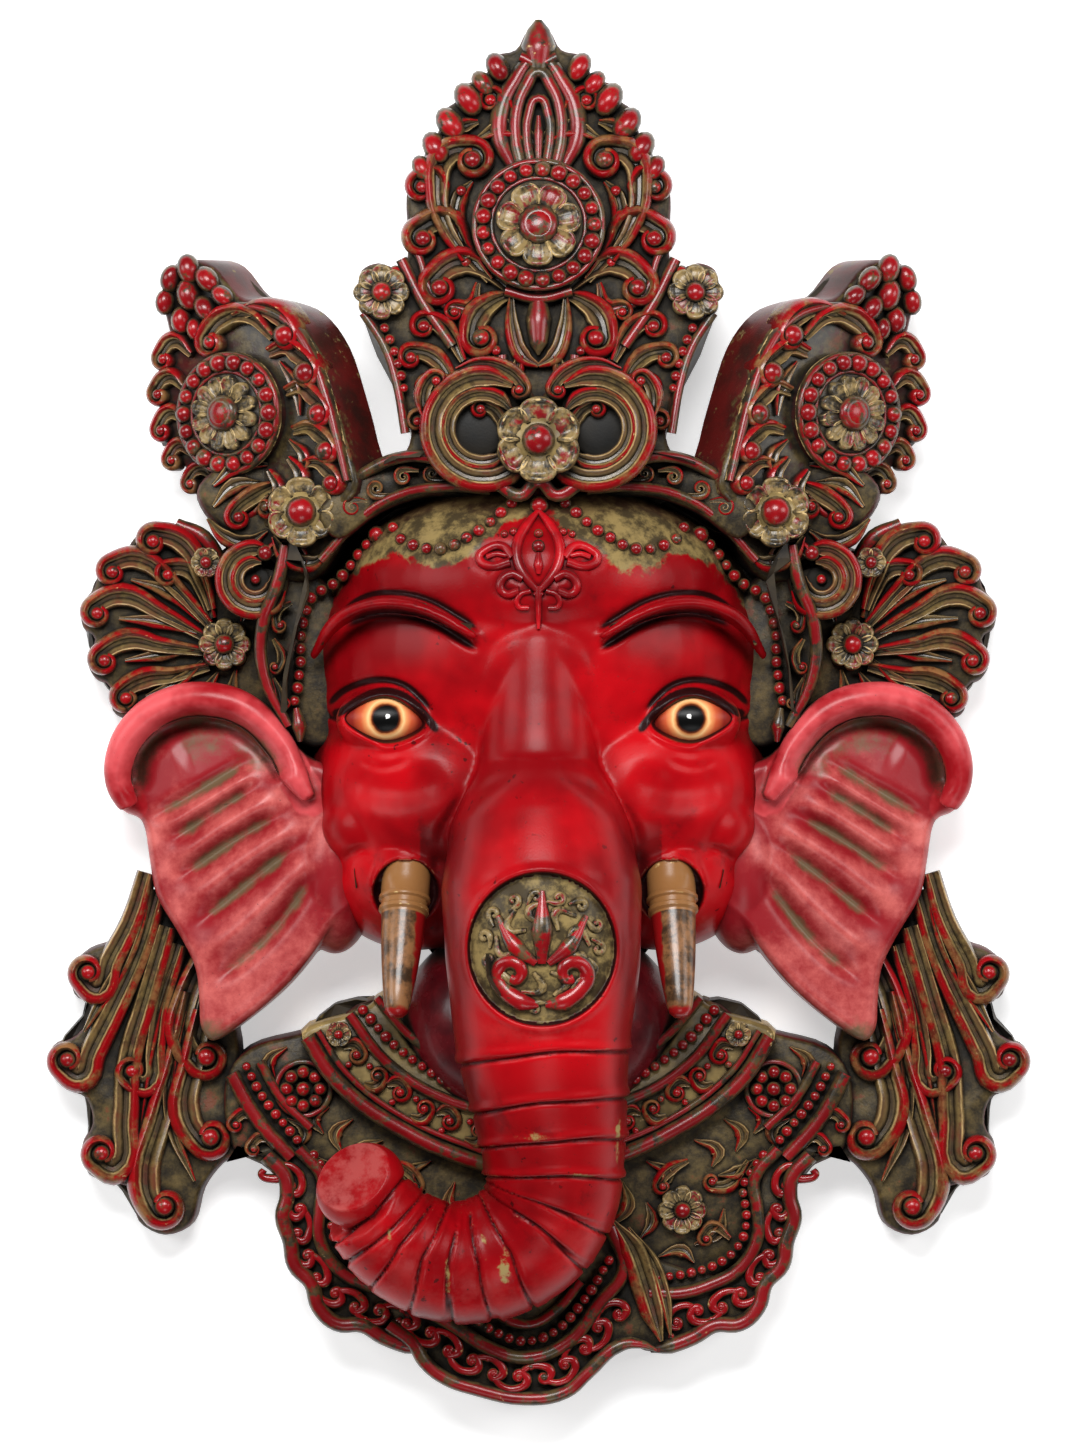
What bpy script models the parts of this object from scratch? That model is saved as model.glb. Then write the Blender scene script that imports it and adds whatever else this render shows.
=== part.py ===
"""Ganesha wall mask, one painted casting with two tusks set into its cheeks.

The mask lies on its flat back: X runs to the viewer's right, Y to the tip of the crown and Z out of the
face. The origin is on the back plane, under the middle of the outline.
"""
import math

import bmesh
import bpy
from mathutils import Matrix, Vector
from mathutils.bvhtree import BVHTree

# Driving sizes in metres
MASK_HEIGHT = 0.464          # lowest lobe of the shawl to the tip of the crown
FACE_WALL = 0.012            # casting wall between the hollow and the face
HOLLOW_DEPTH = 0.056         # back plane to the roof of the hollow
TUSK_ROOT_RADIUS = 0.0082    # plain end of a tusk, inside its socket
TUSK_SEAT = 0.010            # length of the plain end
TUSK_LENGTH = 0.043          # root band to the blunt tip
TUSK_TIP_RADIUS = 0.0046
BAND_RADIUS = 0.0078         # raised band round a tusk's root, outside the socket
SOCKET_CLEARANCE = 0.0003    # free gap between a tusk and its socket

# The carving is drawn in units of this length, a millimetre on a mask of this height
UNIT = MASK_HEIGHT / 464

# Fineness of the solid
GRAIN = 1.6 * UNIT           # cell that merges the forms into one casting
FACE_SHARE = 0.0205          # share of the merged faces that the casting keeps
ROUND_STEPS = 10             # steps of a small round form
RELAX_ROUNDS = 20            # most rounds of smoothing where thinned faces cross
FOLD_ANGLE = math.radians(150)

# The skull's oval, in units
SKULL_HALF_WIDTH = 79
SKULL_HALF_HEIGHT = 74
SKULL_MIDDLE = 4

LEFT = -1
RIGHT = 1
SIDES = (LEFT, RIGHT)
UPRIGHT = Matrix.Identity(4)
BELOW_BACK = -8              # forms run this far past the back plane, where they are cut flat

LACQUER_RED = (0.38, 0.012, 0.02, 1)
OLD_BRONZE = (0.17, 0.12, 0.05, 1)


def clear_scene():
    """Remove whatever the file opened with."""
    for old in list(bpy.data.objects):
        bpy.data.objects.remove(old, do_unlink=True)


def collection(name, hidden=False):
    """A new collection in the scene."""
    group = bpy.data.collections.new(name)
    bpy.context.scene.collection.children.link(group)
    group.hide_render = hidden
    return group


def paint(name, colour, roughness, metallic):
    """A plain Principled material."""
    material = bpy.data.materials.new(name)
    material.use_nodes = True
    shader = material.node_tree.nodes["Principled BSDF"]
    shader.inputs["Base Color"].default_value = colour
    shader.inputs["Roughness"].default_value = roughness
    shader.inputs["Metallic"].default_value = metallic
    material.diffuse_color = colour
    return material


class Carving:
    """Closed forms that overlap and are merged into one casting later."""

    def __init__(self):
        self.forms = bmesh.new()

    def take(self, mesh, place):
        """Add a mesh drawn in units."""
        part = bmesh.new()
        part.from_mesh(mesh)
        bmesh.ops.remove_doubles(part, verts=part.verts, dist=0.001)
        part.transform(Matrix.Scale(UNIT, 4) @ place)
        bmesh.ops.recalc_face_normals(part, faces=part.faces)
        part.to_mesh(mesh)
        part.free()
        self.forms.from_mesh(mesh)
        bpy.data.meshes.remove(mesh)

    def take_curve(self, data, place):
        """Add a curve's closed surface."""
        holder = bpy.data.objects.new(data.name, data)
        bpy.context.scene.collection.objects.link(holder)
        graph = bpy.context.evaluated_depsgraph_get()
        mesh = bpy.data.meshes.new_from_object(holder.evaluated_get(graph))
        bpy.data.objects.remove(holder)
        bpy.data.curves.remove(data)
        self.take(mesh, place)

    def blob(self, centre, radii, place=UPRIGHT, turn=0.0):
        """An ellipsoid, turned in the plane of the mask by degrees."""
        part = bmesh.new()
        bmesh.ops.create_uvsphere(part, u_segments=2 * ROUND_STEPS, v_segments=ROUND_STEPS, radius=1)
        spot = Matrix.Translation(centre) @ Matrix.Rotation(math.radians(turn), 4, "Z")
        part.transform(spot @ Matrix.Diagonal((*radii, 1)))
        mesh = bpy.data.meshes.new("blob")
        part.to_mesh(mesh)
        part.free()
        self.take(mesh, place)

    def disc(self, centre, radius, bottom, top, place=UPRIGHT):
        """A round post."""
        part = bmesh.new()
        bmesh.ops.create_cone(part, cap_ends=True, segments=3 * ROUND_STEPS,
                              radius1=radius, radius2=radius, depth=top - bottom)
        part.transform(Matrix.Translation((centre[0], centre[1], (bottom + top) / 2)))
        mesh = bpy.data.meshes.new("disc")
        part.to_mesh(mesh)
        part.free()
        self.take(mesh, place)

    def stroke(self, points, radii, height, place=UPRIGHT):
        """A round stroke through (x, y) or (x, y, z) points, as thick as its radii, one or many."""
        data = bpy.data.curves.new("stroke", "CURVE")
        data.dimensions = "3D"
        data.bevel_depth = 1.0
        data.bevel_resolution = 2
        data.use_fill_caps = True
        data.twist_mode = "Z_UP"
        line = data.splines.new("BEZIER")
        line.resolution_u = 5
        line.bezier_points.add(len(points) - 1)
        for index, (knot, point) in enumerate(zip(line.bezier_points, points)):
            rise = point[2] if len(point) > 2 else height
            knot.co = (point[0], point[1], rise)
            knot.radius = radii[index] if isinstance(radii, (list, tuple)) else radii
            knot.handle_left_type = "AUTO"
            knot.handle_right_type = "AUTO"
        self.take_curve(data, place)

    def plate(self, outline, bottom, top, rounding=2.0, place=UPRIGHT):
        """A flat form with a smooth outline and a rounded edge."""
        data = bpy.data.curves.new("plate", "CURVE")
        data.dimensions = "2D"
        data.fill_mode = "BOTH"
        data.extrude = (top - bottom) / 2 - rounding
        data.bevel_depth = rounding
        data.bevel_resolution = 1
        data.offset = -rounding
        line = data.splines.new("BEZIER")
        line.resolution_u = 4
        line.use_cyclic_u = True
        line.bezier_points.add(len(outline) - 1)
        for knot, point in zip(line.bezier_points, outline):
            knot.co = (*point, 0)
            knot.handle_left_type = "AUTO"
            knot.handle_right_type = "AUTO"
        self.take_curve(data, place @ Matrix.Translation((0, 0, (bottom + top) / 2)))


def mirrored(points, side):
    """Points drawn for the viewer's right, put on one side."""
    return [(side * point[0], *point[1:]) for point in points]


def curl_line(stem, centre, radius, hand, turns=1.0):
    """A stem that runs into a spiral: hand 1 winds left, -1 winds right."""
    start = Vector(stem[-1][:2]) - Vector(centre)
    reach = max(start.length, radius * 1.02)
    angle = math.atan2(start.y, start.x) + hand * math.acos(radius / reach)
    steps = int(8 * turns)
    spiral = []
    for step in range(steps + 1):
        share = step / steps
        size = radius * (1 - 0.7 * share)
        bearing = angle + hand * 2 * math.pi * turns * share
        spiral.append((centre[0] + size * math.cos(bearing), centre[1] + size * math.sin(bearing)))
    return list(stem) + spiral


def lock(carving, stem, centre, radius, hand, width, height, side=RIGHT, place=UPRIGHT):
    """A carved lock: a stem that ends in a curl with a knob in its eye."""
    line = mirrored(curl_line(stem, centre, radius - width * 0.6, hand), side)
    carving.stroke(line, width, height + 1, place)
    carving.blob((side * centre[0], centre[1], height + 1), (width, width, width * 1.3), place)


def flower(carving, centre, radius, petals, height, place=UPRIGHT, boss=0.36):
    """A flower of round petals about a ball."""
    ring = radius * 0.66
    petal = min(radius * 0.36, ring * math.sin(math.pi / petals) * 1.05)
    for index in range(petals):
        angle = 2 * math.pi * index / petals + math.pi / 2
        spot = (centre[0] + ring * math.cos(angle), centre[1] + ring * math.sin(angle), height)
        carving.blob(spot, (radius * 0.36, petal, radius * 0.25), place, math.degrees(angle))
    carving.blob((*centre, height + radius * 0.14), (radius * boss,) * 3, place)
    carving.disc(centre, radius * 0.7, height - radius * 0.5, height, place)


def rosette(carving, centre, radius, base, height, place=UPRIGHT):
    """The large round flower of a crown leaf, with its beaded rim."""
    carving.disc(centre, radius, base, height - 5, place)
    ring = []
    for index in range(12):
        angle = 2 * math.pi * index / 12
        ring.append((centre[0] + 0.88 * radius * math.cos(angle), centre[1] + 0.88 * radius * math.sin(angle)))
    carving.stroke(ring + ring[:2], 2.3, height - 4, place)
    flower(carving, centre, radius * 0.74, 7, height - 2, place, boss=0.4)


# Head

def head(carving):
    """The skull, cheeks and jaw of the elephant, without its trunk."""
    carving.blob((0, SKULL_MIDDLE, 10), (SKULL_HALF_WIDTH, SKULL_HALF_HEIGHT, 63))
    carving.blob((0, SKULL_MIDDLE + 15, 12), (SKULL_HALF_WIDTH - 1, 61, 66))
    carving.blob((0, 38, 30), (62, 36, 54))
    for side in SIDES:
        carving.blob((side * 34, -26, 20), (43, 42, 54))
        carving.blob((side * 40, -52, 14), (32, 30, 50))
        carving.blob((side * 50, -3, 54), (17, 11, 16))
        brow = mirrored([(73, 20, 52), (63, 32, 64), (48, 35, 73), (32, 30, 79), (19, 23, 81)], side)
        carving.stroke(brow, [2.4, 4, 4.4, 3.8, 2], 0)
        socket = mirrored([(45, -43, 54), (44.5, -51, 58), (44, -58.5, 60)], side)
        carving.stroke(socket, [9, 12, 12], 0)
        cheek_line = mirrored([(53, -47, 62), (61, -50, 57), (60, -61, 55)], side)
        carving.stroke(cheek_line, 3, 0)
    carving.blob((0, -70, 10), (34, 34, 46))


def trunk(carving):
    """The trunk, from the bridge of the nose round its bend to the tip, with its rings."""
    root = [(0, 25, 57), (0, 5, 60), (0, -17, 65), (0.5, -38, 72), (1, -58, 77), (1.5, -82, 80), (1.5, -108, 75),
            (3.5, -128, 69), (5, -147, 61)]
    bend = [(3, -163, 54), (-8, -177, 49), (-26, -183, 49), (-43, -177, 57), (-56, -162, 66)]
    thickness = [19.5, 21.5, 22, 29, 32, 31.5, 28, 25.5, 23, 22, 21.5, 20.5, 19, 14.5]
    carving.stroke(root + bend, thickness, 0)
    rings = ((2, -113, 73.5, 27.5, 0), (3, -129, 68, 25.3, 8), (4.5, -143, 63, 23.6, 14))
    for x, y, rise, reach, turn in rings:
        carving.blob((x, y, rise), (reach + 1.6, 5, reach + 2), turn=turn)
    for x, y, rise, reach, turn in ((1, -170, 52, 22, 48), (-15, -181, 49, 21, 82), (-35, -181, 53, 18.5, 110)):
        carving.blob((x, y, rise), (reach + 1.6, 5, reach + 2), turn=turn)
    carving.blob((-58, -157, 73), (14, 11, 10), turn=-35)
    rim = []
    for index in range(12):
        angle = 2 * math.pi * index / 12
        rim.append((0.5 + 25.7 * math.cos(angle), -77 + 26.7 * math.sin(angle),
                    104 - 9.5 * math.cos(angle) ** 2))
    carving.stroke(rim + rim[:2], 2.2, 0)
    carving.stroke(curl_line([(-17, -76), (-15, -90)], (2, -84), 12, 1, 0.8), 3.6, 110)


def ears(carving):
    """Ears with a rolled rim and radiating folds."""
    outline = [(66, -20), (84, -4), (97, 4), (108, 8), (123, 6), (137, -3), (144, -22), (140, -33),
               (132, -38), (129, -56), (119, -76), (114, -90), (113, -105), (110, -109), (98, -102),
               (84, -89), (70, -78), (62, -62)]
    rim = [(80, -24, 40), (87, -9, 41), (97, 1, 41), (109, 4, 40), (123, 2, 38), (134, -6, 36),
           (139.5, -20, 34), (137, -30, 32)]
    folds = ([(76, -34, 42), (100, -28, 36), (128, -43, 29)], [(72, -44, 42), (98, -44, 35), (124, -58, 28)],
             [(70, -54, 41), (94, -60, 34), (118, -76, 27)], [(66, -64, 40), (90, -78, 32), (112, -100, 26)])
    for side in SIDES:
        lean = Matrix.Translation((side * 62, 0, 34)) @ Matrix.Rotation(math.radians(side * 9), 4, "Y")
        lean = lean @ Matrix.Translation((-side * 62, 0, -34))
        carving.plate(mirrored(outline, side), 6, 34, 3.5, lean)
        carving.stroke(mirrored(rim, side), [4, 5.5, 6, 6, 6, 5.5, 5, 4], 0)
        for fold in folds:
            carving.stroke(mirrored(fold, side), [5, 5.5, 4.5], 0)
        carving.blob((side * 68, -50, 20), (14, 30, 28))


# Crown

def middle_leaf(carving):
    """The tall leaf of the crown, leaning back to its tip."""
    lean = Matrix.Translation((0, 96, 46)) @ Matrix.Rotation(math.radians(-9), 4, "X")
    lean = lean @ Matrix.Translation((0, -96, -46))
    lower = [(40, 78), (46, 104), (60, 134), (61, 143), (52, 148), (45, 146), (45, 170), (40, 181),
             (36, 190), (30, 200), (22, 209), (12, 219), (4, 230)]
    outline = lower + [(-x, y) for x, y in reversed(lower)]
    carving.plate(outline, -40, 52, 3, lean)
    carving.stroke([(0, 200, 54), (0, 218, 54), (0, 229, 52), (0, 232.9, 51)], [7, 6, 5, 1.5], 0, lean)
    rosette(carving, (0, 161), 21.3, 40, 64, lean)
    carving.stroke([(0, 139), (0, 127), (0, 116)], [4, 6, 3.2], 54, lean)
    for side in SIDES:
        for x, y in ((13.5, 216), (24, 205), (30.5, 195), (35, 186)):
            carving.blob((side * x, y, 52), (5.6, 5.6, 6), lean)
        lock(carving, [(4, 188), (12, 192)], (22.5, 182), 7.5, -1, 3, 54, side, lean)
        for y, size in ((174, 6.2), (157.5, 6.4), (141, 6.2)):
            stem = [(24, y - 6), (32, y - 6)]
            lock(carving, stem, (38.5, y), size, 1, 2.7, 53, side, lean)
        lock(carving, [(8, 138), (9, 128)], (18, 125), 6.5, 1, 2.6, 54, side, lean)
        carving.stroke(mirrored([(45, 150), (38, 135), (29, 121)], side), 1.8, 54, lean)
        flower(carving, (side * 53, 139), 9, 8, 53, lean)
        for x, y in ((39, 125), (44, 114), (38, 103)):
            lock(carving, [(x - 9, y - 4), (x - 4, y - 5)], (x, y), 4.6, 1, 2.2, 53, side, lean)
    carving.stroke([(0, 188), (8, 199), (0, 214), (-8, 199), (0, 188)], 2.4, 54, lean)


def crown_base(carving):
    """Ring sockets and the jewel flower over the forehead, with the band that runs out to each side."""
    for side in SIDES:
        ring = []
        for index in range(10):
            angle = math.radians(-150 + 300 * index / 9 + 90)
            ring.append((side * (18 + 16 * math.cos(angle)), 93 + 16 * math.sin(angle)))
        carving.disc((side * 18, 93), 20.5, 20, 70)
        carving.stroke(ring, 4.2, 73)
        carving.stroke(mirrored([(30, 83, 70), (44, 84, 66), (58, 78, 56), (68, 70, 46)], side), 3.2, 0)
        band = mirrored([(20, 84), (44, 86), (62, 78), (74, 66), (66, 56), (40, 66), (14, 70)], side)
        carving.plate(band, BELOW_BACK, 54, 3)
    flower(carving, (0, 89), 14, 8, 80)
    carving.blob((0, 89, 84), (6, 6, 6))


def side_leaf(carving, side):
    """A side leaf of the crown, a thick slab turned outward."""
    hinge = Matrix.Translation((side * 92, 0, 40)) @ Matrix.Rotation(math.radians(side * 32), 4, "Y")
    outline = [(38, 76), (30, 100), (22, 122), (10, 134), (-4, 139), (-18, 150), (-36, 149), (-42, 136),
               (-40, 118), (-44, 100), (-36, 84), (-22, 72), (-10, 62), (16, 62)]
    outline = [(-side * x, y) for x, y in outline]
    carving.plate(outline, -20, 0, 2.5, hinge)
    rim = [(32, 84), (25, 104), (16, 120), (4, 130), (-8, 134)]
    carving.stroke([(-side * x, y) for x, y in rim], 3, 1, hinge)
    rosette(carving, (side * 11, 99), 20, -4, 10, hinge)
    for x, y in ((20, 118), (10, 126), (29, 100), (32, 88), (-24, 138), (-34, 144), (-36, 118), (-38, 90)):
        carving.blob((-side * x, y, 2), (4.4, 4.4, 4.6), hinge)
    carving.stroke([(side * 14, 128), (side * 22, 138), (side * 34, 148)], [3, 4.6, 3], 1, hinge)


def side_leaves(carving):
    """Both side leaves, what carries them, and the jewel flowers and swirl rings at their feet."""
    for side in SIDES:
        side_leaf(carving, side)
        carving.plate(mirrored([(60, 64), (56, 84), (84, 112), (112, 96), (114, 74), (96, 52), (74, 40)],
                               side), BELOW_BACK, 34, 3)
        flower(carving, (side * 79, 67), 11, 6, 57)
        carving.blob((side * 79, 67, 44), (11, 11, 16))
        carving.disc((side * 93, 44), 11.5, 10, 44)
        ring = []
        for index in range(9):
            angle = math.radians(-40 + 290 * index / 8)
            ring.append((side * (93 + 9.5 * math.cos(angle)), 44 + 9.5 * math.sin(angle)))
        carving.stroke(ring, 3.4, 46)
        carving.blob((side * 110, 50, 36), (7, 6, 8))
        carving.stroke(mirrored([(84, 56, 50), (76, 44, 56), (80, 28, 54), (84, 6, 48), (83, -6, 44)], side),
                       [4, 4, 3.4, 3, 2.4], 0)


def side_fans(carving):
    """The palmette beside each temple, its locks curling over at the rim."""
    outline = [(66, -8), (66, 30), (84, 46), (100, 56), (116, 56), (128, 62), (138, 58), (148, 50),
               (154, 36), (152, 16), (142, 1), (120, -6)]
    tips = ((128, 55), (142, 47), (147.5, 32), (145, 16), (136, 4))
    for side in SIDES:
        carving.plate(mirrored(outline, side), BELOW_BACK, 26, 3)
        for x, y in tips:
            angle = math.atan2(y - 22, x - 100)
            stem = [(103 + 8 * math.cos(angle), 22 + 8 * math.sin(angle)),
                    (103 + 26 * math.cos(angle), 22 + 26 * math.sin(angle))]
            lock(carving, stem, (x, y), 6.2, 1, 3, 28, side)
        lock(carving, [(106, 34), (114, 44)], (124, 44), 5, -1, 2.6, 29, side)
        flower(carving, (side * 104.5, 22.5), 9, 8, 31)


# Hair, collar and shawl

def hair(carving):
    """A plate of waving locks behind each ear."""
    outline = [(108, -60), (130, -62), (141, -76), (152, -78), (158, -88), (154, -98), (162, -108),
               (165, -120), (156, -128), (154, -138), (154, -154), (144, -160), (136, -172), (125, -177),
               (114, -170), (112, -156), (101, -150), (99, -136), (102, -122), (99, -110)]
    ends = (((126, -64), (138, -84), (151, -86), 6.5, 1), ((122, -70), (144, -108), (157, -116), 8, 1),
            ((118, -84), (128, -108), (135, -120), 6.5, -1), ((112, -92), (106, -106), (111, -116), 9, 1),
            ((124, -108), (138, -136), (146, -147), 7.5, 1), ((112, -126), (116, -134), (109, -142), 8, -1),
            ((116, -120), (124, -144), (122, -161), 7, -1), ((130, -130), (140, -152), (126, -168), 8, -1))
    for side in SIDES:
        carving.plate(mirrored(outline, side), BELOW_BACK, 20, 2.5)
        for start, middle, centre, radius, hand in ends:
            lock(carving, [start, middle], centre, radius, hand, 3.2, 22, side)
        for start, end in (((116, -80), (134, -132)), ((112, -96), (126, -134)), ((130, -80), (150, -140))):
            waist = ((start[0] + end[0]) / 2 + 5, (start[1] + end[1]) / 2)
            carving.stroke(mirrored([start, waist, end], side), 3.2, 22)


def collar(carving):
    """The neck and the collar's ridges."""
    carving.blob((0, -104, 12), (46, 34, 34))
    ridges = (((56, -97), (44, -112), (24, -130), 2.6, 33), ((62, -101), (49, -118), (22, -135), 2.2, 33),
              ((75, -108), (58, -131), (18, -152), 3, 31))
    for side in SIDES:
        band = [(52, -94), (80, -108), (60, -136), (20, -154), (0, -158), (0, -126), (26, -124), (44, -108)]
        carving.plate(mirrored(band, side), BELOW_BACK, 30, 2)
        for start, middle, end, radius, height in ridges:
            carving.stroke(mirrored([start, middle, end], side), radius, height)
        strap = mirrored([(98, -120), (94, -134), (83, -147)], side)
        carving.stroke(strap, 3, 27)
        flower(carving, (side * 78, -126), 7.6, 8, 28)


def shawl(carving):
    """The shawl over the chest, in three lobes with raised borders."""
    chest = [(51, -95), (74, -104), (97, -113), (106, -128), (103, -146), (88, -156), (60, -190), (0, -200)]
    outline = chest + [(-x, y) for x, y in reversed(chest[:-1])] + [(0, -104)]
    carving.plate(outline, BELOW_BACK, 24, 2)
    lobe = [(100, -147), (88, -158), (85, -178), (81, -190), (70, -205), (56, -211), (42, -215), (30, -200),
            (26, -160), (70, -140)]
    border = [(96, -148), (84, -160), (80, -178), (74, -193), (62, -203), (44, -208)]
    inner = [(70, -158), (70, -176), (64, -186), (52, -192), (40, -194)]
    for side in SIDES:
        carving.plate(mirrored(lobe, side), BELOW_BACK, 25, 2.5)
        carving.stroke(mirrored(border, side), 3.2, 26)
        carving.stroke(mirrored(inner, side), 2.2, 27)
        flower(carving, (side * 48, -164.5), 8.3, 8, 29)
    bottom = [(-50, -206), (-42, -213), (-34, -221), (-22, -228), (-5, -232), (10, -229), (19, -221),
              (29, -211), (38, -214), (44, -200), (0, -176), (-44, -190)]
    carving.plate(bottom, BELOW_BACK, 27, 2.5)
    carving.stroke([(-40, -208), (-32, -217), (-20, -224), (-4, -227), (10, -224), (20, -214), (30, -206)],
                   3, 28)
    carving.stroke([(-24, -205), (-12, -212), (-2, -213), (10, -209), (20, -197), (28, -186)], 2.4, 30)
    carving.stroke([(24, -170), (33, -184), (38, -200), (41, -212)], 4, 28)


# The casting, its hollow and its sockets

def socket_place(side):
    """Where a tusk leaves its socket, looking along it."""
    mouth = Vector((side * 44, -60.5, 62)) * UNIT
    heading = Vector((side * 2.5, -38, 15)).normalized()
    turn = heading.to_track_quat("Z", "Y").to_matrix().to_4x4()
    return Matrix.Translation(mouth) @ turn


def add_object(name, mesh, group, material=None):
    """A mesh object with its material."""
    item = bpy.data.objects.new(name, mesh)
    group.objects.link(item)
    if material:
        mesh.materials.append(material)
    return item


def add_cutter(item, cutter):
    """Cut one object by another."""
    cutter.hide_render = True
    cutter.display_type = "WIRE"
    cut = item.modifiers.new(cutter.name, "BOOLEAN")
    cut.operation = "DIFFERENCE"
    cut.solver = "MANIFOLD"      # the exact solver leaves gaps in a casting thinned this far
    cut.object = cutter


def hollow_cutter(group):
    """The domed hollow behind the face: the skull's own oval, a wall smaller."""
    shape = bmesh.new()
    half_width = SKULL_HALF_WIDTH * UNIT - FACE_WALL
    half_height = SKULL_HALF_HEIGHT * UNIT - FACE_WALL
    bmesh.ops.create_uvsphere(shape, u_segments=32, v_segments=14, radius=1)
    middle = Vector((0, SKULL_MIDDLE * UNIT, 0))
    spot = Matrix.Translation(middle) @ Matrix.Diagonal((half_width, half_height, HOLLOW_DEPTH, 1))
    shape.transform(spot)
    mesh = bpy.data.meshes.new("hollow")
    shape.to_mesh(mesh)
    shape.free()
    return add_object("hollow", mesh, group)


def back_cutter(group):
    """All that lies behind the back plane."""
    shape = bmesh.new()
    bmesh.ops.create_cube(shape, size=1)
    depth = 80 * UNIT
    shape.transform(Matrix.Translation((0, 0, -depth / 2)) @ Matrix.Diagonal((1.5 * MASK_HEIGHT,
                                                                             1.5 * MASK_HEIGHT, depth, 1)))
    mesh = bpy.data.meshes.new("behind_back")
    shape.to_mesh(mesh)
    shape.free()
    return add_object("behind_back", mesh, group)


def socket_cutter(side, group):
    """The round bore that a tusk's root fits."""
    shape = bmesh.new()
    radius = TUSK_ROOT_RADIUS + SOCKET_CLEARANCE
    depth = TUSK_SEAT + SOCKET_CLEARANCE
    past = 0.02
    bmesh.ops.create_cone(shape, cap_ends=True, segments=24, radius1=radius, radius2=radius,
                          depth=depth + past)
    shape.transform(socket_place(side) @ Matrix.Translation((0, 0, (past - depth) / 2)))
    mesh = bpy.data.meshes.new("socket")
    shape.to_mesh(mesh)
    shape.free()
    return add_object("socket_left" if side == LEFT else "socket_right", mesh, group)


def tusk(side, group, material):
    """One tusk: a plain root, a raised band and a body that tapers to a blunt tip."""
    profile = [(0, -TUSK_SEAT), (TUSK_ROOT_RADIUS, -TUSK_SEAT), (TUSK_ROOT_RADIUS, 0.0012),
               (BAND_RADIUS, 0.002), (BAND_RADIUS, 0.0065), (0.92 * BAND_RADIUS, 0.0075),
               (0.88 * BAND_RADIUS, 0.4 * TUSK_LENGTH), (1.25 * TUSK_TIP_RADIUS, 0.8 * TUSK_LENGTH),
               (TUSK_TIP_RADIUS, 0.95 * TUSK_LENGTH), (0.6 * TUSK_TIP_RADIUS, TUSK_LENGTH),
               (0, TUSK_LENGTH)]
    shape = bmesh.new()
    knots = [shape.verts.new((radius, 0, height)) for radius, height in profile]
    edges = [shape.edges.new(pair) for pair in zip(knots, knots[1:])]
    bmesh.ops.spin(shape, geom=knots + edges, cent=(0, 0, 0), axis=(0, 0, 1), angle=2 * math.pi,
                   steps=20, use_merge=True)
    bmesh.ops.remove_doubles(shape, verts=shape.verts, dist=0.00001)
    bmesh.ops.recalc_face_normals(shape, faces=shape.faces)
    mesh = bpy.data.meshes.new("tusk")
    shape.to_mesh(mesh)
    shape.free()
    mesh.shade_smooth()
    item = add_object("tusk_left" if side == LEFT else "tusk_right", mesh, group, material)
    item.matrix_world = socket_place(side)
    return item


def merge(item):
    """Merge the overlapping forms into one skin and thin its faces."""
    skin = item.modifiers.new("one skin", "REMESH")
    skin.mode = "VOXEL"
    skin.voxel_size = GRAIN
    soften = item.modifiers.new("soften", "SMOOTH")
    soften.factor = 0.5
    soften.iterations = 3
    thin = item.modifiers.new("thin", "DECIMATE")
    thin.ratio = FACE_SHARE
    graph = bpy.context.evaluated_depsgraph_get()
    merged = bpy.data.meshes.new_from_object(item.evaluated_get(graph))
    item.modifiers.clear()
    relax(merged)
    item.data = merged


def crowded_corners(shape):
    """Corners of the faces that cross another face or fold back on a neighbour."""
    tree = BVHTree.FromBMesh(shape)
    corners = set()
    for first, second in tree.overlap(tree):
        one = set(shape.faces[first].verts)
        other = set(shape.faces[second].verts)
        if not one & other:
            corners |= one | other
    for edge in shape.edges:
        if edge.calc_face_angle(0) > FOLD_ANGLE:
            corners |= {corner for face in edge.link_faces for corner in face.verts}
    return corners


def relax(mesh):
    """Smooth a thinned skin where its faces cross, so that it is one clean body."""
    shape = bmesh.new()
    shape.from_mesh(mesh)
    bmesh.ops.triangulate(shape, faces=shape.faces)
    for step in range(RELAX_ROUNDS):
        shape.faces.ensure_lookup_table()
        corners = crowded_corners(shape)
        if not corners:
            break
        bmesh.ops.smooth_vert(shape, verts=list(corners), factor=0.6,
                              use_axis_x=True, use_axis_y=True, use_axis_z=True)
    shape.to_mesh(mesh)
    shape.free()


def casting(group, cutters, material):
    """The whole mask but its tusks."""
    carving = Carving()
    for carve in (head, trunk, ears, middle_leaf, crown_base, side_leaves, side_fans, hair, collar, shawl):
        carve(carving)
    mesh = bpy.data.meshes.new("mask")
    carving.forms.to_mesh(mesh)
    carving.forms.free()
    mask = add_object("mask", mesh, group, material)
    merge(mask)
    add_cutter(mask, back_cutter(cutters))
    add_cutter(mask, hollow_cutter(cutters))
    for side in SIDES:
        add_cutter(mask, socket_cutter(side, cutters))
    return mask


def main():
    clear_scene()
    model = collection("ganesha_mask")
    cutters = collection("cutters", hidden=True)
    lacquer = paint("red_lacquer", LACQUER_RED, 0.28, 0.0)
    bronze = paint("old_bronze", OLD_BRONZE, 0.4, 0.4)
    casting(model, cutters, lacquer)
    for side in SIDES:
        tusk(side, model, bronze)


main()
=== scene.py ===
"""Looks of the ganesha wall mask: carved relief, worn red lacquer over old bronze, painted eyes.

Sizes are in carving units, a millimetre on a mask 464 mm high. The right half is drawn and the left half
is its mirror, but for the trunk, which curls to the viewer's left.
"""
import math

import bpy
import numpy as np
from mathutils import Matrix, Vector


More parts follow.
